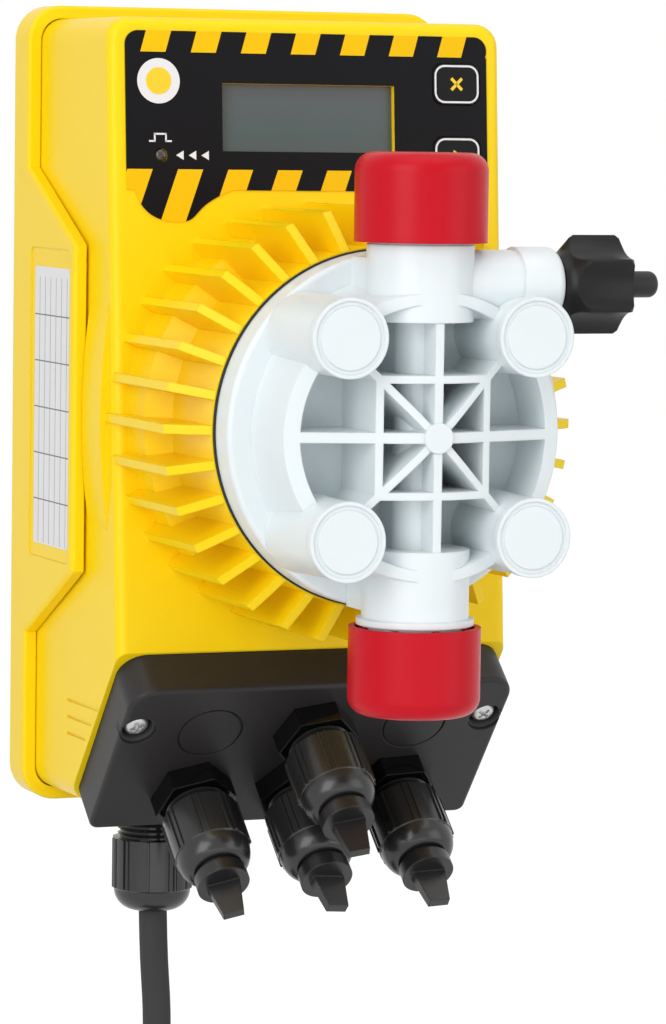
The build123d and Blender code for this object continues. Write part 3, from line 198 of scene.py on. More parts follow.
def math_node(tree, operation, first, second=None):
    """A math node whose inputs are sockets or numbers; returns its output."""
    node = tree.nodes.new("ShaderNodeMath")
    node.operation = operation
    for index, value in enumerate((first, second)):
        if value is None:
            continue
        if isinstance(value, bpy.types.NodeSocket):
            tree.links.new(value, node.inputs[index])
        else:
            node.inputs[index].default_value = value
    return node.outputs[0]


def noise_value(tree, size, detail, stretch=(1, 1, 1)):
    """Noise on object coordinates with features of about the given size; returns its value output."""
    place = tree.nodes.new("ShaderNodeTexCoord")
    mapping = tree.nodes.new("ShaderNodeMapping")
    mapping.inputs["Scale"].default_value = stretch
    noise = tree.nodes.new("ShaderNodeTexNoise")
    noise.inputs["Scale"].default_value = 1 / size
    noise.inputs["Detail"].default_value = detail
    tree.links.new(place.outputs["Object"], mapping.inputs["Vector"])
    tree.links.new(mapping.outputs["Vector"], noise.inputs["Vector"])
    return noise.outputs[0]


def object_axes(tree):
    """The X, Y and Z outputs of the object coordinates."""
    place = tree.nodes.new("ShaderNodeTexCoord")
    split = tree.nodes.new("ShaderNodeSeparateXYZ")
    tree.links.new(place.outputs["Object"], split.inputs["Vector"])
    return split.outputs["X"], split.outputs["Y"], split.outputs["Z"]


def repeated_band(tree, value, spacing, width):
    """A mask that is one for the first width of every spacing along a value."""
    return math_node(tree, "LESS_THAN", math_node(tree, "FLOORED_MODULO", value, spacing), width)


def span_mask(tree, value, low, high):
    """A mask that is one between two limits."""
    above = math_node(tree, "GREATER_THAN", value, low)
    return math_node(tree, "MULTIPLY", above, math_node(tree, "LESS_THAN", value, high))


def two_colors(tree, mask, off, on):
    """One colour where the mask is zero and another where it is one; returns the colour output."""
    mix = tree.nodes.new("ShaderNodeMix")
    mix.data_type = "RGBA"
    tree.links.new(mask, mix.inputs["Factor"])
    mix.inputs[6].default_value = off
    mix.inputs[7].default_value = on
    return mix.outputs[2]


def grain_group():
    """Normal of a moulded surface: fine grain, slow unevenness and softened edges."""
    inputs = (
        ("Grain Depth", "NodeSocketFloat", 0.01 * MM),
        ("Edge Radius", "NodeSocketFloat", 0.4 * MM),
    )
    group, start, end = new_group("moulded surface", inputs, (("Normal", "NodeSocketVector"),))
    bevel = group.nodes.new("ShaderNodeBevel")
    bevel.samples = 4
    group.links.new(start.outputs["Edge Radius"], bevel.inputs["Radius"])
    grain = noise_value(group, bpy.context.scene.pump_finishes.grain_size, 2)
    waves = noise_value(group, 9 * MM, 1)
    height = math_node(group, "ADD", grain, math_node(group, "MULTIPLY", waves, 3))
    bump = group.nodes.new("ShaderNodeBump")
    bump.inputs["Strength"].default_value = 1.0
    group.links.new(start.outputs["Grain Depth"], bump.inputs["Distance"])
    group.links.new(height, bump.inputs["Height"])
    group.links.new(bevel.outputs["Normal"], bump.inputs["Normal"])
    group.links.new(bump.outputs["Normal"], end.inputs["Normal"])
    return group


def tone_group():
    """A colour with slow blotches, and a roughness with fine scuffs."""
    inputs = (
        ("Color", "NodeSocketColor", (0.5, 0.5, 0.5, 1)),
        ("Blotch", "NodeSocketFloat", 0.05),
        ("Roughness", "NodeSocketFloat", 0.4),
        ("Scuff", "NodeSocketFloat", 0.08),
    )
    outputs = (("Color", "NodeSocketColor"), ("Roughness", "NodeSocketFloat"))
    group, start, end = new_group("moulded tone", inputs, outputs)
    blotches = noise_value(group, 22 * MM, 3)
    scuffs = noise_value(group, 3 * MM, 4, (1, 1, 3))
    swing = math_node(group, "SUBTRACT", blotches, 0.5)
    value = math_node(group, "ADD", math_node(group, "MULTIPLY", swing, start.outputs["Blotch"]), 1.0)
    shade = group.nodes.new("ShaderNodeHueSaturation")
    group.links.new(start.outputs["Color"], shade.inputs["Color"])
    group.links.new(value, shade.inputs["Value"])
    rough_swing = math_node(group, "SUBTRACT", scuffs, 0.5)
    scuffed = math_node(group, "MULTIPLY", rough_swing, start.outputs["Scuff"])
    rough = math_node(group, "ADD", scuffed, start.outputs["Roughness"])
    group.links.new(shade.outputs["Color"], end.inputs["Color"])
    group.links.new(rough, end.inputs["Roughness"])
    return group


def shared_group(name, maker):
    """The node group of that name, made on first use."""
    return bpy.data.node_groups.get(name) or maker()


def new_material(name):
    """An empty procedural material with its tree and its principled shader."""
    material = bpy.data.materials.new(name)
    material.use_nodes = True
    return material, material.node_tree, material.node_tree.nodes["Principled BSDF"]


def add_surface(tree, shader, grain_depth, edge_radius):
    """Moulded grain and soft edges on a shader."""
    surface = tree.nodes.new("ShaderNodeGroup")
    surface.node_tree = shared_group("moulded surface", grain_group)
    surface.inputs["Grain Depth"].default_value = grain_depth
    surface.inputs["Edge Radius"].default_value = edge_radius
    tree.links.new(surface.outputs["Normal"], shader.inputs["Normal"])


def add_tone(tree, shader, color, roughness, blotch=0.05, scuff=0.08):
    """Blotched colour and scuffed roughness on a shader; color is a value or a socket."""
    tone = tree.nodes.new("ShaderNodeGroup")
    tone.node_tree = shared_group("moulded tone", tone_group)
    if isinstance(color, bpy.types.NodeSocket):
        tree.links.new(color, tone.inputs["Color"])
    else:
        tone.inputs["Color"].default_value = color
    tone.inputs["Blotch"].default_value = blotch
    tone.inputs["Roughness"].default_value = roughness
    tone.inputs["Scuff"].default_value = scuff
    tree.links.new(tone.outputs["Color"], shader.inputs["Base Color"])
    tree.links.new(tone.outputs["Roughness"], shader.inputs["Roughness"])


# ---------------------------------------------------------------- materials
def moulded_plastic(name, color, roughness, grain_depth, edge=None, coat=0.0, scatter=0.0, gleam=0.5):
    """A moulded plastic with grain, soft edges and slight colour variation; gleam is its specular level."""
    material, tree, shader = new_material(name)
    edge = bpy.context.scene.pump_finishes.edge_radius if edge is None else edge
    add_tone(tree, shader, color, roughness)
    add_surface(tree, shader, grain_depth, edge)
    shader.inputs["Specular IOR Level"].default_value = gleam
    shader.inputs["Coat Weight"].default_value = coat
    shader.inputs["Coat Roughness"].default_value = 0.15
    shader.inputs["Subsurface Weight"].default_value = scatter
    shader.inputs["Subsurface Radius"].default_value = (1.0, 0.8, 0.7)
    shader.inputs["Subsurface Scale"].default_value = 2.5 * MM
    return material


def machined_metal(name, color, roughness, grain_depth=0.004 * MM):
    """Plated or turned metal with fine scratches."""
    material, tree, shader = new_material(name)
    add_tone(tree, shader, color, roughness, blotch=0.1, scuff=0.2)
    add_surface(tree, shader, grain_depth, 0.15 * MM)
    shader.inputs["Metallic"].default_value = 1.0
    return material


def label_print(name):
    """The black front film with its slanted yellow stripes along the top and the bottom."""
    material, tree, shader = new_material(name)
    across, _, up = object_axes(tree)
    masks = []
    for slant, level, first, low, high in STRIPE_BANDS:
        lean = math_node(tree, "MULTIPLY", math_node(tree, "SUBTRACT", up, level * MM), slant)
        along = math_node(tree, "SUBTRACT", math_node(tree, "SUBTRACT", across, lean), first * MM)
        stripe = repeated_band(tree, along, STRIPE_SPACING, STRIPE_WIDTH)
        masks.append(math_node(tree, "MULTIPLY", stripe, span_mask(tree, up, low * MM, high * MM)))
    striped = math_node(tree, "MAXIMUM", masks[0], masks[1])
    color = two_colors(tree, striped, (0.006, 0.0055, 0.007, 1), (0.92, 0.55, 0.004, 1))
    add_tone(tree, shader, color, 0.38, blotch=0.03)
    add_surface(tree, shader, 0.004 * MM, 0.1 * MM)
    shader.inputs["Specular IOR Level"].default_value = 0.10
    return material


def display_face(name):
    """The unlit liquid crystal display under its window: a grey gradient."""
    material, tree, shader = new_material(name)
    low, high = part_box("display_window")
    span = tree.nodes.new("ShaderNodeMapRange")
    span.inputs["From Min"].default_value = low[2]
    span.inputs["From Max"].default_value = high[2]
    tree.links.new(object_axes(tree)[2], span.inputs["Value"])
    ramp = tree.nodes.new("ShaderNodeValToRGB")
    ramp.color_ramp.elements[0].color = (0.080, 0.098, 0.102, 1)
    ramp.color_ramp.elements[1].color = (0.102, 0.110, 0.122, 1)
    ramp.color_ramp.elements.new(0.35).color = (0.075, 0.106, 0.108, 1)
    tree.links.new(span.outputs["Result"], ramp.inputs["Fac"])
    add_tone(tree, shader, ramp.outputs["Color"], 0.22, blotch=0.02, scuff=0.04)
    shader.inputs["Specular IOR Level"].default_value = 0.3
    add_surface(tree, shader, 0.001 * MM, 0.1 * MM)
    return material


def rating_label(name):
    """A white paper label ruled into the blank boxes of a table."""
    material, tree, shader = new_material(name)
    _, deep, up = object_axes(tree)
    columns = repeated_band(tree, deep, 4.3 * MM, 0.28 * MM)
    rows = repeated_band(tree, up, 12.0 * MM, 0.32 * MM)
    ruled = math_node(tree, "MAXIMUM", columns, rows)
    inked = math_node(tree, "MULTIPLY", ruled, span_mask(tree, up, -35.0 * MM, 34.0 * MM))
    color = two_colors(tree, inked, (0.79, 0.79, 0.80, 1), (0.10, 0.10, 0.11, 1))
    add_tone(tree, shader, color, 0.45, blotch=0.03)
    add_surface(tree, shader, 0.002 * MM, 0.1 * MM)
    return material


def lead_sheath(name):
    """Soft black lead sheath with a faint lengthwise sheen."""
    material, tree, shader = new_material(name)
    add_tone(tree, shader, (0.018, 0.018, 0.019, 1), 0.42, blotch=0.12, scuff=0.15)
    add_surface(tree, shader, 0.01 * MM, 0.1 * MM)
    return material


def board_laminate(name, color):
    """Solder mask over a laminate with faint copper tracks."""
    material, tree, shader = new_material(name)
    tracks = math_node(tree, "GREATER_THAN", noise_value(tree, 2 * MM, 0, (1, 1, 6)), 0.55)
    brighter = tuple(1.5 * value for value in color[:3]) + (1,)
    add_tone(tree, shader, two_colors(tree, tracks, color, brighter), 0.35)
    add_surface(tree, shader, 0.01 * MM, 0.1 * MM)
    return material


def coil_winding(name):
    """Enamelled wire wound in fine even turns."""
    material, tree, shader = new_material(name)
    place = tree.nodes.new("ShaderNodeTexCoord")
    wave = tree.nodes.new("ShaderNodeTexWave")
    wave.bands_direction = "Y"
    wave.inputs["Scale"].default_value = 330
    tree.links.new(place.outputs["Object"], wave.inputs["Vector"])
    bump = tree.nodes.new("ShaderNodeBump")
    bump.inputs["Distance"].default_value = 0.2 * MM
    tree.links.new(wave.outputs["Fac"], bump.inputs["Height"])
    tree.links.new(bump.outputs["Normal"], shader.inputs["Normal"])
    add_tone(tree, shader, (0.45, 0.17, 0.06, 1), 0.35)
    return material


def make_materials():
    """Every material by its slot or piece name."""
    look = bpy.context.scene.pump_finishes
    ink_edge = 0.02 * MM
    plastics = (  # name, colour, roughness, grain depth in millimetres, other settings
        ("yellow_pp", look.yellow, 0.33, 0.006, {"scatter": 0.04, "gleam": 0.22}),
        ("black_pp", look.black, 0.45, 0.012, {"gleam": 0.28}),
        ("white_pvdf", look.white, 0.33, 0.006, {"scatter": 0.25}),
        ("sleeve_white", look.white, 0.33, 0.006, {}),
        ("red_pe", look.red, 0.34, 0.010, {"scatter": 0.05, "gleam": 0.15}),
        ("black_pa", (0.004, 0.004, 0.0045, 1), 0.13, 0.003, {"gleam": 0.32}),
        ("knob_black", (0.009, 0.008, 0.008, 1), 0.36, 0.008, {"gleam": 0.22}),
        ("black_plug", (0.014, 0.013, 0.013, 1), 0.34, 0.008, {}),
        ("black_key", (0.009, 0.009, 0.010, 1), 0.42, 0.006, {"edge": 0.3 * MM, "gleam": 0.12}),
        ("black_rubber", (0.010, 0.010, 0.010, 1), 0.70, 0.02, {}),
        ("ptfe", (0.82, 0.82, 0.79, 1), 0.40, 0.004, {"scatter": 0.2}),
        ("ceramic", (0.86, 0.85, 0.81, 1), 0.12, 0.001, {"coat": 0.4}),
        ("red_lens", (0.035, 0.022, 0.018, 1), 0.18, 0.002, {"coat": 0.5}),
        ("grey_terminal", (0.30, 0.32, 0.30, 1), 0.45, 0.01, {}),
        ("white_print", (0.80, 0.80, 0.82, 1), 0.40, 0.002, {"edge": ink_edge}),
        ("yellow_print", (0.93, 0.62, 0.01, 1), 0.40, 0.002, {"edge": ink_edge}),
    )
    materials = {
        name: moulded_plastic(name, color, roughness, grain * MM, **more)
        for name, color, roughness, grain, more in plastics
    }
    materials["steel"] = machined_metal("steel", (0.60, 0.60, 0.58, 1), 0.30)
    materials["brass_pin"] = machined_metal("brass_pin", (0.72, 0.60, 0.38, 1), 0.28)
    materials["green_board"] = board_laminate("green_board", (0.02, 0.16, 0.05, 1))
    materials["winding"] = coil_winding("winding")
    materials["black_label"] = label_print("black_label")
    materials["display_glass"] = display_face("display_glass")
    materials["rating_label"] = rating_label("rating_label")
    materials["lead_pvc"] = lead_sheath("lead_pvc")
    return materials


# ---------------------------------------------------------------- piece helpers
def start_fresh():
    """Object mode with nothing selected."""
    if bpy.context.object and bpy.context.object.mode != "OBJECT":
        bpy.ops.object.mode_set(mode="OBJECT")
    bpy.ops.object.select_all(action="DESELECT")


def pick(*objects):
    """Select these objects, the last of them active."""
    bpy.ops.object.select_all(action="DESELECT")
    for thing in objects:
        thing.select_set(True)
    bpy.context.view_layer.objects.active = objects[-1]


def settle(piece, name, material, body):
    """Name a finished piece, bake its place into its mesh, and give it its material and body."""
    pick(piece)
    bpy.ops.object.transform_apply(location=True, rotation=True, scale=True)
    piece.name = name
    piece.data.name = name
    piece.data.materials.clear()
    piece.data.materials.append(bpy.data.materials[material])
    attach(piece, body)
    return piece


def join(pieces):
    """One object out of one or more, selected and active."""
    pick(*pieces)
    if len(pieces) > 1:
        bpy.ops.object.join()
    return bpy.context.object


def apply_modifiers(piece):
    """Apply every modifier on a piece, in order."""
    pick(piece)
    for modifier in list(piece.modifiers):
        bpy.ops.object.modifier_apply(modifier=modifier.name)


def face_matrix(x, z, lift):
    """Where a flat mark lies on the tilted front face: its local Z points out of the face."""
    outward = Vector((0, -math.cos(FACE_TILT), math.sin(FACE_TILT)))
    place = Vector((x, -FACE_DEPTH + z * math.tan(FACE_TILT), z)) + outward * lift
    return Matrix.Translation(place) @ Matrix.Rotation(math.pi / 2 - FACE_TILT, 4, "X")


def flat_bar(width, height, x, y, turn=0.0):
    """A flat bar about a place in the local plane of a mark."""
    bpy.ops.mesh.primitive_plane_add(size=1, location=(x, y, 0), rotation=(0, 0, turn))
    bar = bpy.context.object
    bar.scale = (width, height, 1)
    bpy.ops.object.transform_apply(location=True, rotation=True, scale=True)
    return bar


def flat_disc(radius, sides, x, y, turn=0.0):
    """A flat disc or polygon about a place in the local plane of a mark."""
    bpy.ops.mesh.primitive_circle_add(
        vertices=sides, radius=radius, fill_type="NGON", location=(x, y, 0), rotation=(0, 0, turn)
    )
    bpy.ops.object.transform_apply(location=True, rotation=True, scale=True)
    return bpy.context.object


def outline_ring(width, height, corner, line):
    """A rounded rectangle drawn as a line, in the local plane of a mark."""
    bar = flat_bar(width, height, 0, 0)
    bpy.ops.object.mode_set(mode="EDIT")
    bpy.ops.mesh.select_all(action="SELECT")
    bpy.ops.mesh.bevel(offset=corner, segments=8, affect="VERTICES")
    bpy.ops.mesh.select_all(action="SELECT")
    bpy.ops.mesh.inset(thickness=line, depth=0)
    bpy.ops.mesh.delete(type="FACE")
    bpy.ops.object.mode_set(mode="OBJECT")
    return bar


def thicken(piece, thickness):
    """Give a flat piece a thickness on its upper side."""
    skin = piece.modifiers.new("thickness", "SOLIDIFY")
    skin.thickness = thickness
    skin.offset = 1
    apply_modifiers(piece)


def mark(pieces, name, material, body, spot, lift):
    """A printed mark: flat pieces joined, given a hair of thickness and laid on the front face."""
    thing = join(pieces)
    thicken(thing, 0.03 * MM)
    thing.matrix_world = face_matrix(spot[0] * MM, spot[1] * MM, lift)
    return settle(thing, name, material, body)


def film_mark(pieces, name, material, spot, lift=FILM_MARK):
    """A mark on the front film."""
    return mark(pieces, name, material, "pump", spot, lift)


def key_mark(pieces, name, material, key):
    """A mark on a key, which moves with it."""
    return mark(pieces, name, material, f"{key}_button", KEY_SPOTS[key], KEY_MARK)


def edit_all():
    """Edit mode on the active piece with everything selected."""
    bpy.ops.object.mode_set(mode="EDIT")
    bpy.ops.mesh.select_mode(type="FACE")
    bpy.ops.mesh.select_all(action="SELECT")


def select_faces(piece, wanted):
    """In edit mode, select only the faces that a test on their centre and normal accepts."""
    bpy.ops.mesh.select_all(action="DESELECT")
    bpy.ops.object.mode_set(mode="OBJECT")
    for face in piece.data.polygons:
        face.select = wanted(face.center, face.normal)
    bpy.ops.object.mode_set(mode="EDIT")


def top_at(height):
    """A test for the level face at a height, for select_faces."""
    return lambda center, normal: normal.z > 0.99 and center.z > height - 0.01 * MM


def raise_top(steps):
    """Extrude the selected end of a turned piece up by each rise, sized by each ratio about the Z axis."""
    for rise, ratio in steps:
        bpy.ops.mesh.extrude_region_move(TRANSFORM_OT_translate={"value": (0, 0, rise)})
        bpy.ops.transform.resize(value=(ratio, ratio, 1), center_override=(0, 0, 0))


def turned_rod(sides, profile):
    """A turned piece along +Z from the origin: profile is a list of (height, radius), from its foot up."""
    (foot, radius), (first, first_radius) = profile[:2]
    bpy.ops.mesh.primitive_cone_add(
        vertices=sides, radius1=radius, radius2=first_radius, depth=first - foot,
        location=(0, 0, (first + foot) / 2),
    )
    piece = bpy.context.object
    bpy.ops.object.transform_apply(location=True, rotation=True, scale=True)
    edit_all()
    select_faces(piece, top_at(first))
    height, size = first, first_radius
    for next_height, next_radius in profile[2:]:
        raise_top([(next_height - height, next_radius / size)])
        height, size = next_height, next_radius
    bpy.ops.object.mode_set(mode="OBJECT")
    return piece


def cut(piece, cutter):
    """Take one piece out of another."""
    tool = piece.modifiers.new("cut", "BOOLEAN")
    tool.operation = "DIFFERENCE"
    tool.solver = "EXACT"
    tool.object = cutter
    apply_modifiers(piece)
    bpy.data.objects.remove(cutter, do_unlink=True)


def smooth(piece, angle):
    """Shade a piece smooth, except across edges sharper than the angle."""
    pick(piece)
    bpy.ops.object.shade_smooth_by_angle(angle=math.radians(angle))


def soften(piece, width, segments=2, angle=35):
    """Round the sharp edges of a piece and smooth its shading."""
    bevel = piece.modifiers.new("edges", "BEVEL")
    bevel.width = width
    bevel.segments = segments
    bevel.limit_method = "ANGLE"
    bevel.angle_limit = math.radians(angle)
    apply_modifiers(piece)
    smooth(piece, 40)


def cover_matrix(x, up, turn=0.0):
    """A place on the sloping cover, given in millimetres: its local Z points out of the cover."""
    outward = Vector((0, -math.cos(COVER_SLOPE), -math.sin(COVER_SLOPE)))
    uphill = Vector((0, -math.sin(COVER_SLOPE), math.cos(COVER_SLOPE)))
    place = COVER_FOOT + Vector((x * MM, 0, 0)) + outward * COVER_HEIGHT + uphill * up * MM
    axes = Matrix((Vector((1, 0, 0)), uphill, outward)).transposed().to_4x4()
    return Matrix.Translation(place) @ axes @ Matrix.Rotation(turn, 4, "Z")


# ---------------------------------------------------------------- operators
class PUMP_OT_finishes(bpy.types.Operator):
    """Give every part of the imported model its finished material"""

    bl_idname = "pump.finishes"
    bl_label = "Finish the parts"

    def execute(self, context):
        start_fresh()
        materials = make_materials()
        slots = {entry["node"]: entry["material_slot"] for entry in frame["record"]["subparts"]}
        for name, part in frame["nodes"].items():
            part.data.materials.clear()
            part.data.materials.append(materials[slots[name]])
            smooth(part, 32)
        return {"FINISHED"}


class PUMP_OT_mains_lead(bpy.types.Operator):
    """Draw the mains lead: its run from the gland, its coil and its tail to the plug"""

    bl_idname = "pump.mains_lead"
    bl_label = "Mains lead"

    def execute(self, context):
        start_fresh()
        lead = context.scene.pump_lead
        # The coil starts this far before the end of the route, in its direction
        overlap = 9.0 * MM
        before, last = [Vector(p) * MM for p in LEAD_ROUTE[-2:]]
        heading = math.atan2(last.x - before.x, before.z - last.z)
        touch = last - (last - before).normalized() * overlap
        middle_x = touch.x - lead.coil_radius * math.cos(heading)
        middle_z = touch.z - lead.coil_radius * math.sin(heading)
        points = [Vector(p) * MM for p in LEAD_ROUTE[:-1]]
        total = 2 * math.pi * lead.turns + heading
        depth = lead.turn_pitch * total / (2 * math.pi)
        count = round(lead.points_per_turn * total / (2 * math.pi))
        outer = lead.coil_radius / math.cos(total / count / 2)
        for step in range(count):
            share = (step + 0.5) / count
            angle = heading - total * share
            x, z = middle_x + outer * math.cos(angle), middle_z + outer * math.sin(angle)
            points.append(Vector((x, last.y - depth * share, z)))
        tail_x, tail_y = middle_x + lead.coil_radius, last.y - depth
        points.append(Vector((tail_x, tail_y, middle_z - 0.3 * lead.tail)))
        points.append(Vector((tail_x, tail_y, middle_z - lead.tail)))
        curve = bpy.data.curves.new("mains_lead", "CURVE")
        curve.dimensions = "3D"
        curve.bevel_depth = lead.diameter / 2
        curve.bevel_resolution = 5
        curve.resolution_u = 6
        curve.use_fill_caps = True
        spline = curve.splines.new("NURBS")
        spline.points.add(len(points) - 1)
        for point, place in zip(spline.points, points):
            point.co = (*place, 1)
        spline.order_u = 3
        spline.use_endpoint_u = True
        cord = bpy.data.objects.new("mains_lead", curve)
        context.scene.collection.objects.link(cord)
        curve.materials.append(bpy.data.materials["lead_pvc"])
        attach(cord, "pump")
        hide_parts("power_cord", "cord_coil", "plug_lead")
        return {"FINISHED"}


def fluted_nut(radius, start, length, dome, mouth, panels):
    """A gland nut along +Z: flat panels parted by pairs of thin ribs, a smooth dome and a mouth."""
    sectors, ribs = 9, (0, 2)
    rim, rim_ratio, dome_steps = 0.3 * MM, 0.975, 8
    top, base = start + length, radius - 0.5 * MM
    sides = sectors * panels
    nut = turned_rod(sides, [(start, base), (top, base)])
    pick(nut)
    edit_all()

    def on_rib(center, normal):
        sector = int((math.atan2(center.y, center.x) % (2 * math.pi)) / (2 * math.pi / sides)) % sectors
        return abs(normal.z) < 0.5 and sector in ribs

    select_faces(nut, on_rib)
    bpy.ops.mesh.inset(thickness=0.12 * MM, depth=0.45 * MM, use_individual=True)
    select_faces(nut, top_at(top))
    shoulder = held = base * rim_ratio
    rounds, risen = [(rim, rim_ratio)], 0.0
    for step in range(1, dome_steps + 1):
        angle = step / dome_steps * math.pi / 2
        wide = mouth + (shoulder - mouth) * math.cos(angle)
        rounds.append(((dome - rim) * (math.sin(angle) - risen), wide / held))
        held, risen = wide, math.sin(angle)
    raise_top(rounds)
    # Down into the mouth
    raise_top([(-0.3 * MM, 0.97), (-2.2 * MM, 0.98)])
    bpy.ops.object.mode_set(mode="OBJECT")
    smooth(nut, 30)
    return nut


def thread_crests(root, crest, width, starts):
    """The crests of a thread along +Z, one ring at each start in millimetres."""
    rings = [
        turned_rod(48, [(z * MM, root), (z * MM + width / 2, crest), (z * MM + width, root)]) for z in starts
    ]
    thread = join(rings)
    smooth(thread, 30)
    return thread


class PUMP_OT_gland_nuts(bpy.types.Operator):
    """Shape the ribbed nuts of the four cable glands and the threads below them"""

    bl_idname = "pump.gland_nuts"
    bl_label = "Cable gland nuts"

    def execute(self, context):
        start_fresh()
        spots = (  # name, X and place up the cover in millimetres, turn in degrees
            ("left", -28.1, -37.7, 18.0),
            ("middle", 0.0, -37.7, -6.0),
            ("right", 28.1, -37.7, 4.0),
            ("upper", 0.0, -16.2, 12.0),
        )
        pattern = fluted_nut(10.35 * MM, 9.4 * MM, 12.4 * MM, 5.8 * MM, 6.3 * MM, 8)
        for place, x, up, turn in spots:
            pick(pattern)
            bpy.ops.object.duplicate()
            nut = bpy.context.object
            nut.matrix_world = cover_matrix(x, up, math.radians(turn))
            settle(nut, f"ribbed_nut_{place}", "black_pa", "pump")
            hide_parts(f"gland_nut_{place}")
            thread = thread_crests(7.7 * MM, 8.25 * MM, 0.7 * MM, (6.1, 7.2, 8.3))
            thread.matrix_world = cover_matrix(x, up)
            settle(thread, f"thread_{place}", "black_pa", "pump")
        bpy.data.objects.remove(pattern, do_unlink=True)
        return {"FINISHED"}


class PUMP_OT_mains_nut(bpy.types.Operator):
    """Shape the ribbed nut of the mains gland and the thread above it"""

    bl_idname = "pump.mains_nut"
    bl_label = "Mains gland nut"

    def execute(self, context):
        start_fresh()
        start, length, dome = 12.4 * MM, 13.2 * MM, 6.0 * MM
        origin = Vector((MAINS_X, MAINS_Y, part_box("mains_gland_nut")[0][2] + start + length + dome))
        place = Matrix.Translation(origin) @ Matrix.Rotation(math.pi, 4, "X")
        nut = fluted_nut(10.9 * MM, start, length, dome, 4.6 * MM, 10)
        nut.matrix_world = place
        settle(nut, "ribbed_nut_mains", "black_pa", "pump")
        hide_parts("mains_gland_nut")
        thread = thread_crests(8.7 * MM, 9.3 * MM, 0.8 * MM, (5.2, 6.6, 8.0, 9.4, 10.8))
        thread.matrix_world = place
        settle(thread, "thread_mains", "black_pa", "pump")
        return {"FINISHED"}


class PUMP_OT_cover_screws(bpy.types.Operator):
    """Shape the two cross-head screws of the terminal cover and their seats"""

    bl_idname = "pump.cover_screws"
    bl_label = "Cover screws"

    def execute(self, context):
        start_fresh()
        heads, seats = [], []
        spots = ((-47.9, 20.0), (47.9, 55.0))  # X in millimetres, turn of the cross in degrees
        for x, turn in spots:
            seat = turned_rod(64, [(-3.35 * MM, 4.72 * MM), (-0.9 * MM, 4.72 * MM)])
            cut(seat, turned_rod(64, [(-4.0 * MM, 3.9 * MM), (1.0 * MM, 4.3 * MM)]))
            soften(seat, 0.1 * MM)
            seats.append(self.on_cover(seat, x))
            head = turned_rod(40, [
                (-3.4 * MM, 3.25 * MM),
                (-2.6 * MM, 3.25 * MM),
                (-1.9 * MM, 3.0 * MM),
                (-1.4 * MM, 2.4 * MM),
                (-1.2 * MM, 1.5 * MM),
            ])
            bars = []
            for angle in (0.0, math.pi / 2):
                bpy.ops.mesh.primitive_cube_add(size=1, location=(0, 0, -1.3 * MM), rotation=(0, 0, angle))
                bar = bpy.context.object
                bar.scale = (3.6 * MM, 0.85 * MM, 2.0 * MM)
                bpy.ops.object.transform_apply(location=True, rotation=True, scale=True)
                bars.append(bar)
            for bar in bars:
                cut(head, bar)
            soften(head, 0.12 * MM)
            heads.append(self.on_cover(head, x, turn))
        screws = join(heads)
        settle(screws, "cross_head_screws", "steel", "pump")
        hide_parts("terminal_cover_screws")
        settle(join(seats), "screw_seats", "black_pp", "pump")
        return {"FINISHED"}

    def on_cover(self, piece, x, turn=0.0):
        """Lay a piece on the cover at a screw's place."""
        piece.matrix_world = cover_matrix(x, -14.6, math.radians(turn))
        pick(piece)
        bpy.ops.object.transform_apply(location=True, rotation=True, scale=True)
        return piece


class PUMP_OT_bleed_knob(bpy.types.Operator):
    """Shape the six-lobed bleed knob with its flared neck, and the sleeve it turns on"""

    bl_idname = "pump.bleed_knob"
    bl_label = "Bleed knob"

    def execute(self, context):
        start_fresh()
        reach = SLEEVE_END - SLEEVE_START
        sleeve = turned_rod(64, [
            (0.0, 9.15 * MM),
            (reach - 2.2 * MM, 9.15 * MM),
            (reach - 1.1 * MM, 8.85 * MM),
            (reach - 0.35 * MM, 8.2 * MM),
            (reach, 7.3 * MM),
        ])
        soften(sleeve, 0.2 * MM)
        sleeve.matrix_world = self.on_axis(SLEEVE_START)
        settle(sleeve, "bleed_sleeve", "sleeve_white", "pump")
        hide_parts("vent_sleeve")
        length = KNOB_END - KNOB_START
        knob = turned_rod(96, [
            (0.0, 7.4 * MM),
            (0.7 * MM, 7.5 * MM),
            (2.4 * MM, 8.7 * MM),
            (4.0 * MM, 11.3 * MM),
            (5.0 * MM, 12.1 * MM),
            (length - 1.3 * MM, 12.1 * MM),
            (length - 0.3 * MM, 11.3 * MM),
            (length, 9.6 * MM),
        ])
        lobes, scallop, distance = 6, 9.2 * MM, 18.0 * MM
        for lobe in range(lobes):
            angle = 2 * math.pi * (lobe + 0.5) / lobes
            bpy.ops.mesh.primitive_cylinder_add(
                vertices=96, radius=scallop, depth=30 * MM,
                location=(distance * math.cos(angle), distance * math.sin(angle), 14 * MM),
            )
            cut(knob, bpy.context.object)
        soften(knob, 0.35 * MM, 3, 28)
        knob.matrix_world = self.on_axis(KNOB_START)
        settle(knob, "lobed_knob", "knob_black", "knob")
        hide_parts("vent_knob")
        return {"FINISHED"}

    def on_axis(self, x):
        """A place on the axis of the bleed valve, with its local Z pointing out of the head."""
        return Matrix.Translation((x, -VENT_DEPTH, VENT_HEIGHT)) @ Matrix.Rotation(math.pi / 2, 4, "Y")


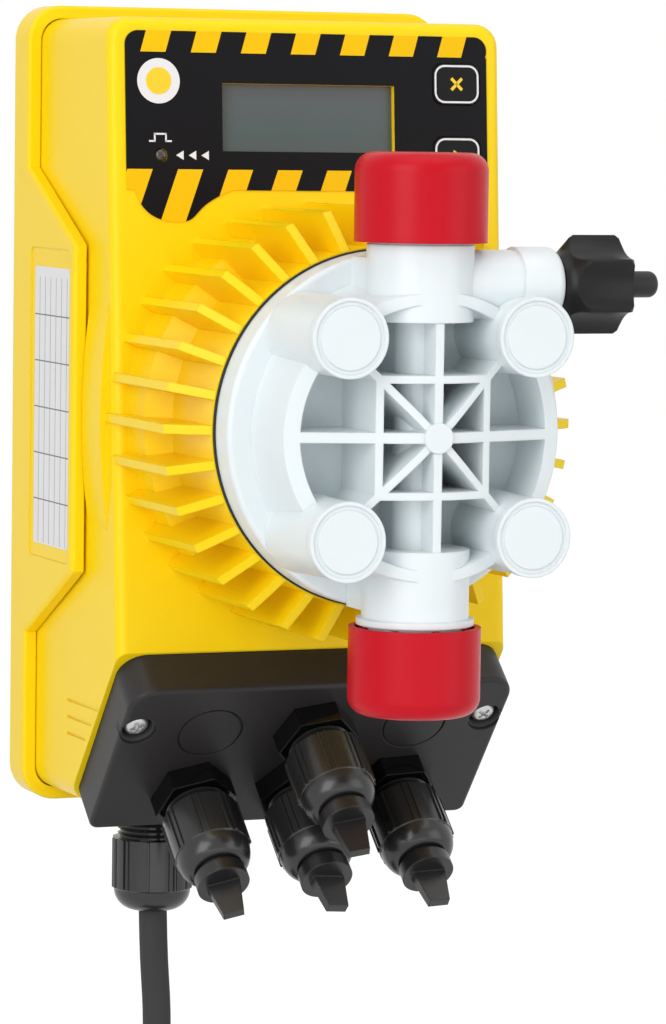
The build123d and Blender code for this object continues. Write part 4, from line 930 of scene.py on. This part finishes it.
class PUMP_OT_panel_print(bpy.types.Operator):
    """Print the plain symbols on the front film and the keys"""

    bl_idname = "pump.panel_print"
    bl_label = "Panel symbols"

    def execute(self, context):
        start_fresh()
        badge, line = (-40.8, 84.6), 0.45 * MM
        film_mark([flat_disc(5.7 * MM, 48, 0, 0)], "symbol_disc", "white_print", badge)
        film_mark([flat_disc(3.4 * MM, 48, 0, 0)], "symbol_dot", "yellow_print", badge, FILM_MARK + 0.04 * MM)
        pulse = [
            flat_bar(1.7 * MM, line, -2.2 * MM, -0.9 * MM),
            flat_bar(line, 2.2 * MM, -1.5 * MM, 0),
            flat_bar(3.4 * MM, line, 0, 0.9 * MM),
            flat_bar(line, 2.2 * MM, 1.5 * MM, 0),
            flat_bar(1.7 * MM, line, 2.2 * MM, -0.9 * MM),
        ]
        film_mark(pulse, "symbol_pulse", "white_print", (-40.5, 70.4))
        warning = [flat_disc(1.35 * MM, 3, x * MM, 0, math.pi / 2) for x in (-3.4, 0, 3.4)]
        film_mark(warning, "symbol_alarm", "white_print", (-31.6, 66.0))
        for key in ("escape", "start"):
            ring = outline_ring(12.4 * MM, 9.8 * MM, 2.8 * MM, 0.5 * MM)
            key_mark([ring], f"outline_{key}", "white_print", key)
        cross = [flat_bar(4.2 * MM, 0.8 * MM, 0, 0, math.radians(angle)) for angle in (45, -45)]
        key_mark(cross, "symbol_escape", "yellow_print", "escape")
        for key, size, turn, ink in (
            ("start", 2.2, -math.pi / 2, "yellow_print"),
            ("down", 1.7, math.pi, "white_print"),
            ("up", 1.7, 0, "white_print"),
        ):
            key_mark([flat_disc(size * MM, 3, 0, 0, turn)], f"symbol_{key}", ink, key)
        return {"FINISHED"}


class PUMP_OT_rating_label(bpy.types.Operator):
    """Lay the blank ruled label in the recess of the left wing"""

    bl_idname = "pump.rating_label"
    bl_label = "Rating label"

    def execute(self, context):
        start_fresh()
        recess_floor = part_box("rear_housing")[0][0] + 0.28 * MM
        middle = (recess_floor, -31.1 * MM, 0.6 * MM)
        bpy.ops.mesh.primitive_plane_add(size=1, location=middle, rotation=(0, -math.pi / 2, 0))
        sheet = bpy.context.object
        sheet.scale = (72.0 * MM, 27.0 * MM, 1)
        bpy.ops.object.transform_apply(location=True, rotation=True, scale=True)
        thicken(sheet, 0.12 * MM)
        settle(sheet, "rating_label", "rating_label", "pump")
        return {"FINISHED"}


class PUMP_OT_stage(bpy.types.Operator):
    """Set up the camera, the floor, the white surroundings and the studio lights"""

    bl_idname = "pump.stage"
    bl_label = "Studio"

    def execute(self, context):
        start_fresh()
        stage = context.scene.pump_stage
        place, target = Vector(stage.camera_place), Vector(stage.camera_target)
        bpy.ops.object.camera_add(location=place)
        camera = bpy.context.object
        camera.name = "camera"
        camera.data.lens = stage.focal_length
        camera.data.sensor_width = 36
        camera.data.clip_end = 20
        turn = (target - place).to_track_quat("-Z", "Y")
        camera.rotation_mode = "QUATERNION"
        camera.rotation_quaternion = turn @ Matrix.Rotation(stage.camera_roll, 3, "Z").to_quaternion()
        context.scene.camera = camera
        context.scene.view_settings.view_transform = "Standard"
        for name, spot, size, power in (
            ("key", (-1.1, -1.0, 0.45), (0.9, 1.2), stage.key_power),
            ("fill", (1.0, -1.2, 0.25), (0.9, 1.2), stage.fill_power),
            ("top", (0.0, -0.35, 1.1), (1.2, 0.9), stage.top_power),
            ("front", (-0.2, -1.5, -0.45), (1.4, 0.6), stage.front_power),
        ):
            self.softbox(name, spot, size, power)
        self.surroundings(context.scene)
        bpy.ops.mesh.primitive_plane_add(size=12, location=(0, 0, stage.floor_depth))
        floor = bpy.context.object
        floor.name = "studio_floor"
        floor.data.materials.append(self.floor_paint())
        return {"FINISHED"}

    def softbox(self, name, place, size, power):
        """A rectangular light aimed at the pump head."""
        bpy.ops.object.light_add(type="AREA", location=place)
        light = bpy.context.object
        light.name = f"{name}_light"
        light.data.shape = "RECTANGLE"
        light.data.size, light.data.size_y = size
        light.data.energy = power
        aim = Vector((0, -0.08, 0)) - Vector(place)
        light.rotation_euler = aim.to_track_quat("-Z", "Y").to_euler()

    def seen_rays(self, tree):
        """One for the rays that see the backdrop: direct, mirrored or through glass."""
        path = tree.nodes.new("ShaderNodeLightPath")
        straight = math_node(tree, "MAXIMUM", path.outputs["Is Camera Ray"], path.outputs["Is Glossy Ray"])
        return math_node(tree, "MAXIMUM", straight, path.outputs["Is Transmission Ray"])

    def surroundings(self, scene):
        """White where it is seen, and a softer grey as light on the object."""
        world = bpy.data.worlds.new("studio")
        scene.world = world
        world.use_nodes = True
        tree = world.node_tree
        backdrop = tree.nodes["Background"]
        ambient = 0.45
        extra = math_node(tree, "MULTIPLY", self.seen_rays(tree), 1 - ambient)
        strength = math_node(tree, "ADD", extra, ambient)
        backdrop.inputs["Color"].default_value = (1, 1, 1, 1)
        tree.links.new(strength, backdrop.inputs["Strength"])

    def floor_paint(self):
        """A pale floor that looks white and keeps a faint shadow."""
        material, tree, shader = new_material("studio_floor")
        shader.inputs["Base Color"].default_value = (0.8, 0.8, 0.8, 1)
        shader.inputs["Roughness"].default_value = 0.9
        # The lit floor shows through the white by a fifth, with the shadow on it
        through = 0.2
        white = tree.nodes.new("ShaderNodeEmission")
        white.inputs["Strength"].default_value = 1.2
        blend = tree.nodes.new("ShaderNodeMixShader")
        tree.links.new(math_node(tree, "MULTIPLY", self.seen_rays(tree), 1 - through), blend.inputs["Fac"])
        tree.links.new(shader.outputs["BSDF"], blend.inputs[1])
        tree.links.new(white.outputs["Emission"], blend.inputs[2])
        tree.links.new(blend.outputs["Shader"], tree.nodes["Material Output"].inputs["Surface"])
        return material


class PUMP_PT_panel(bpy.types.Panel):
    """Sidebar panel of the pump"""

    bl_idname = "PUMP_PT_panel"
    bl_label = "Metering pump"
    bl_space_type = "VIEW_3D"
    bl_region_type = "UI"
    bl_category = "Pump"

    def draw(self, context):
        for settings in (context.scene.pump_finishes, context.scene.pump_lead, context.scene.pump_stage):
            box = self.layout.box()
            for key in settings.__annotations__:
                box.prop(settings, key)
        for operator in OPERATORS:
            self.layout.operator(operator.bl_idname)


SETTINGS = (PUMP_PG_finishes, PUMP_PG_lead, PUMP_PG_stage)
OPERATORS = (
    PUMP_OT_finishes,
    PUMP_OT_mains_lead,
    PUMP_OT_gland_nuts,
    PUMP_OT_mains_nut,
    PUMP_OT_cover_screws,
    PUMP_OT_bleed_knob,
    PUMP_OT_panel_print,
    PUMP_OT_rating_label,
    PUMP_OT_stage,
)
CLASSES = SETTINGS + OPERATORS + (PUMP_PT_panel,)


def register():
    """Add the add-on's classes and settings to Blender."""
    for cls in CLASSES:
        bpy.utils.register_class(cls)
    bpy.types.Scene.pump_finishes = bpy.props.PointerProperty(type=PUMP_PG_finishes)
    bpy.types.Scene.pump_lead = bpy.props.PointerProperty(type=PUMP_PG_lead)
    bpy.types.Scene.pump_stage = bpy.props.PointerProperty(type=PUMP_PG_stage)


def unregister():
    """Take the add-on's classes and settings out of Blender."""
    del bpy.types.Scene.pump_stage
    del bpy.types.Scene.pump_lead
    del bpy.types.Scene.pump_finishes
    for cls in reversed(CLASSES):
        bpy.utils.unregister_class(cls)


def main():
    """Register the add-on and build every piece."""
    register()
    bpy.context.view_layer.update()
    bpy.ops.pump.finishes()
    bpy.ops.pump.mains_lead()
    bpy.ops.pump.gland_nuts()
    bpy.ops.pump.mains_nut()
    bpy.ops.pump.cover_screws()
    bpy.ops.pump.bleed_knob()
    bpy.ops.pump.panel_print()
    bpy.ops.pump.rating_label()
    bpy.ops.pump.stage()


if __name__ == "__main__":
    main()
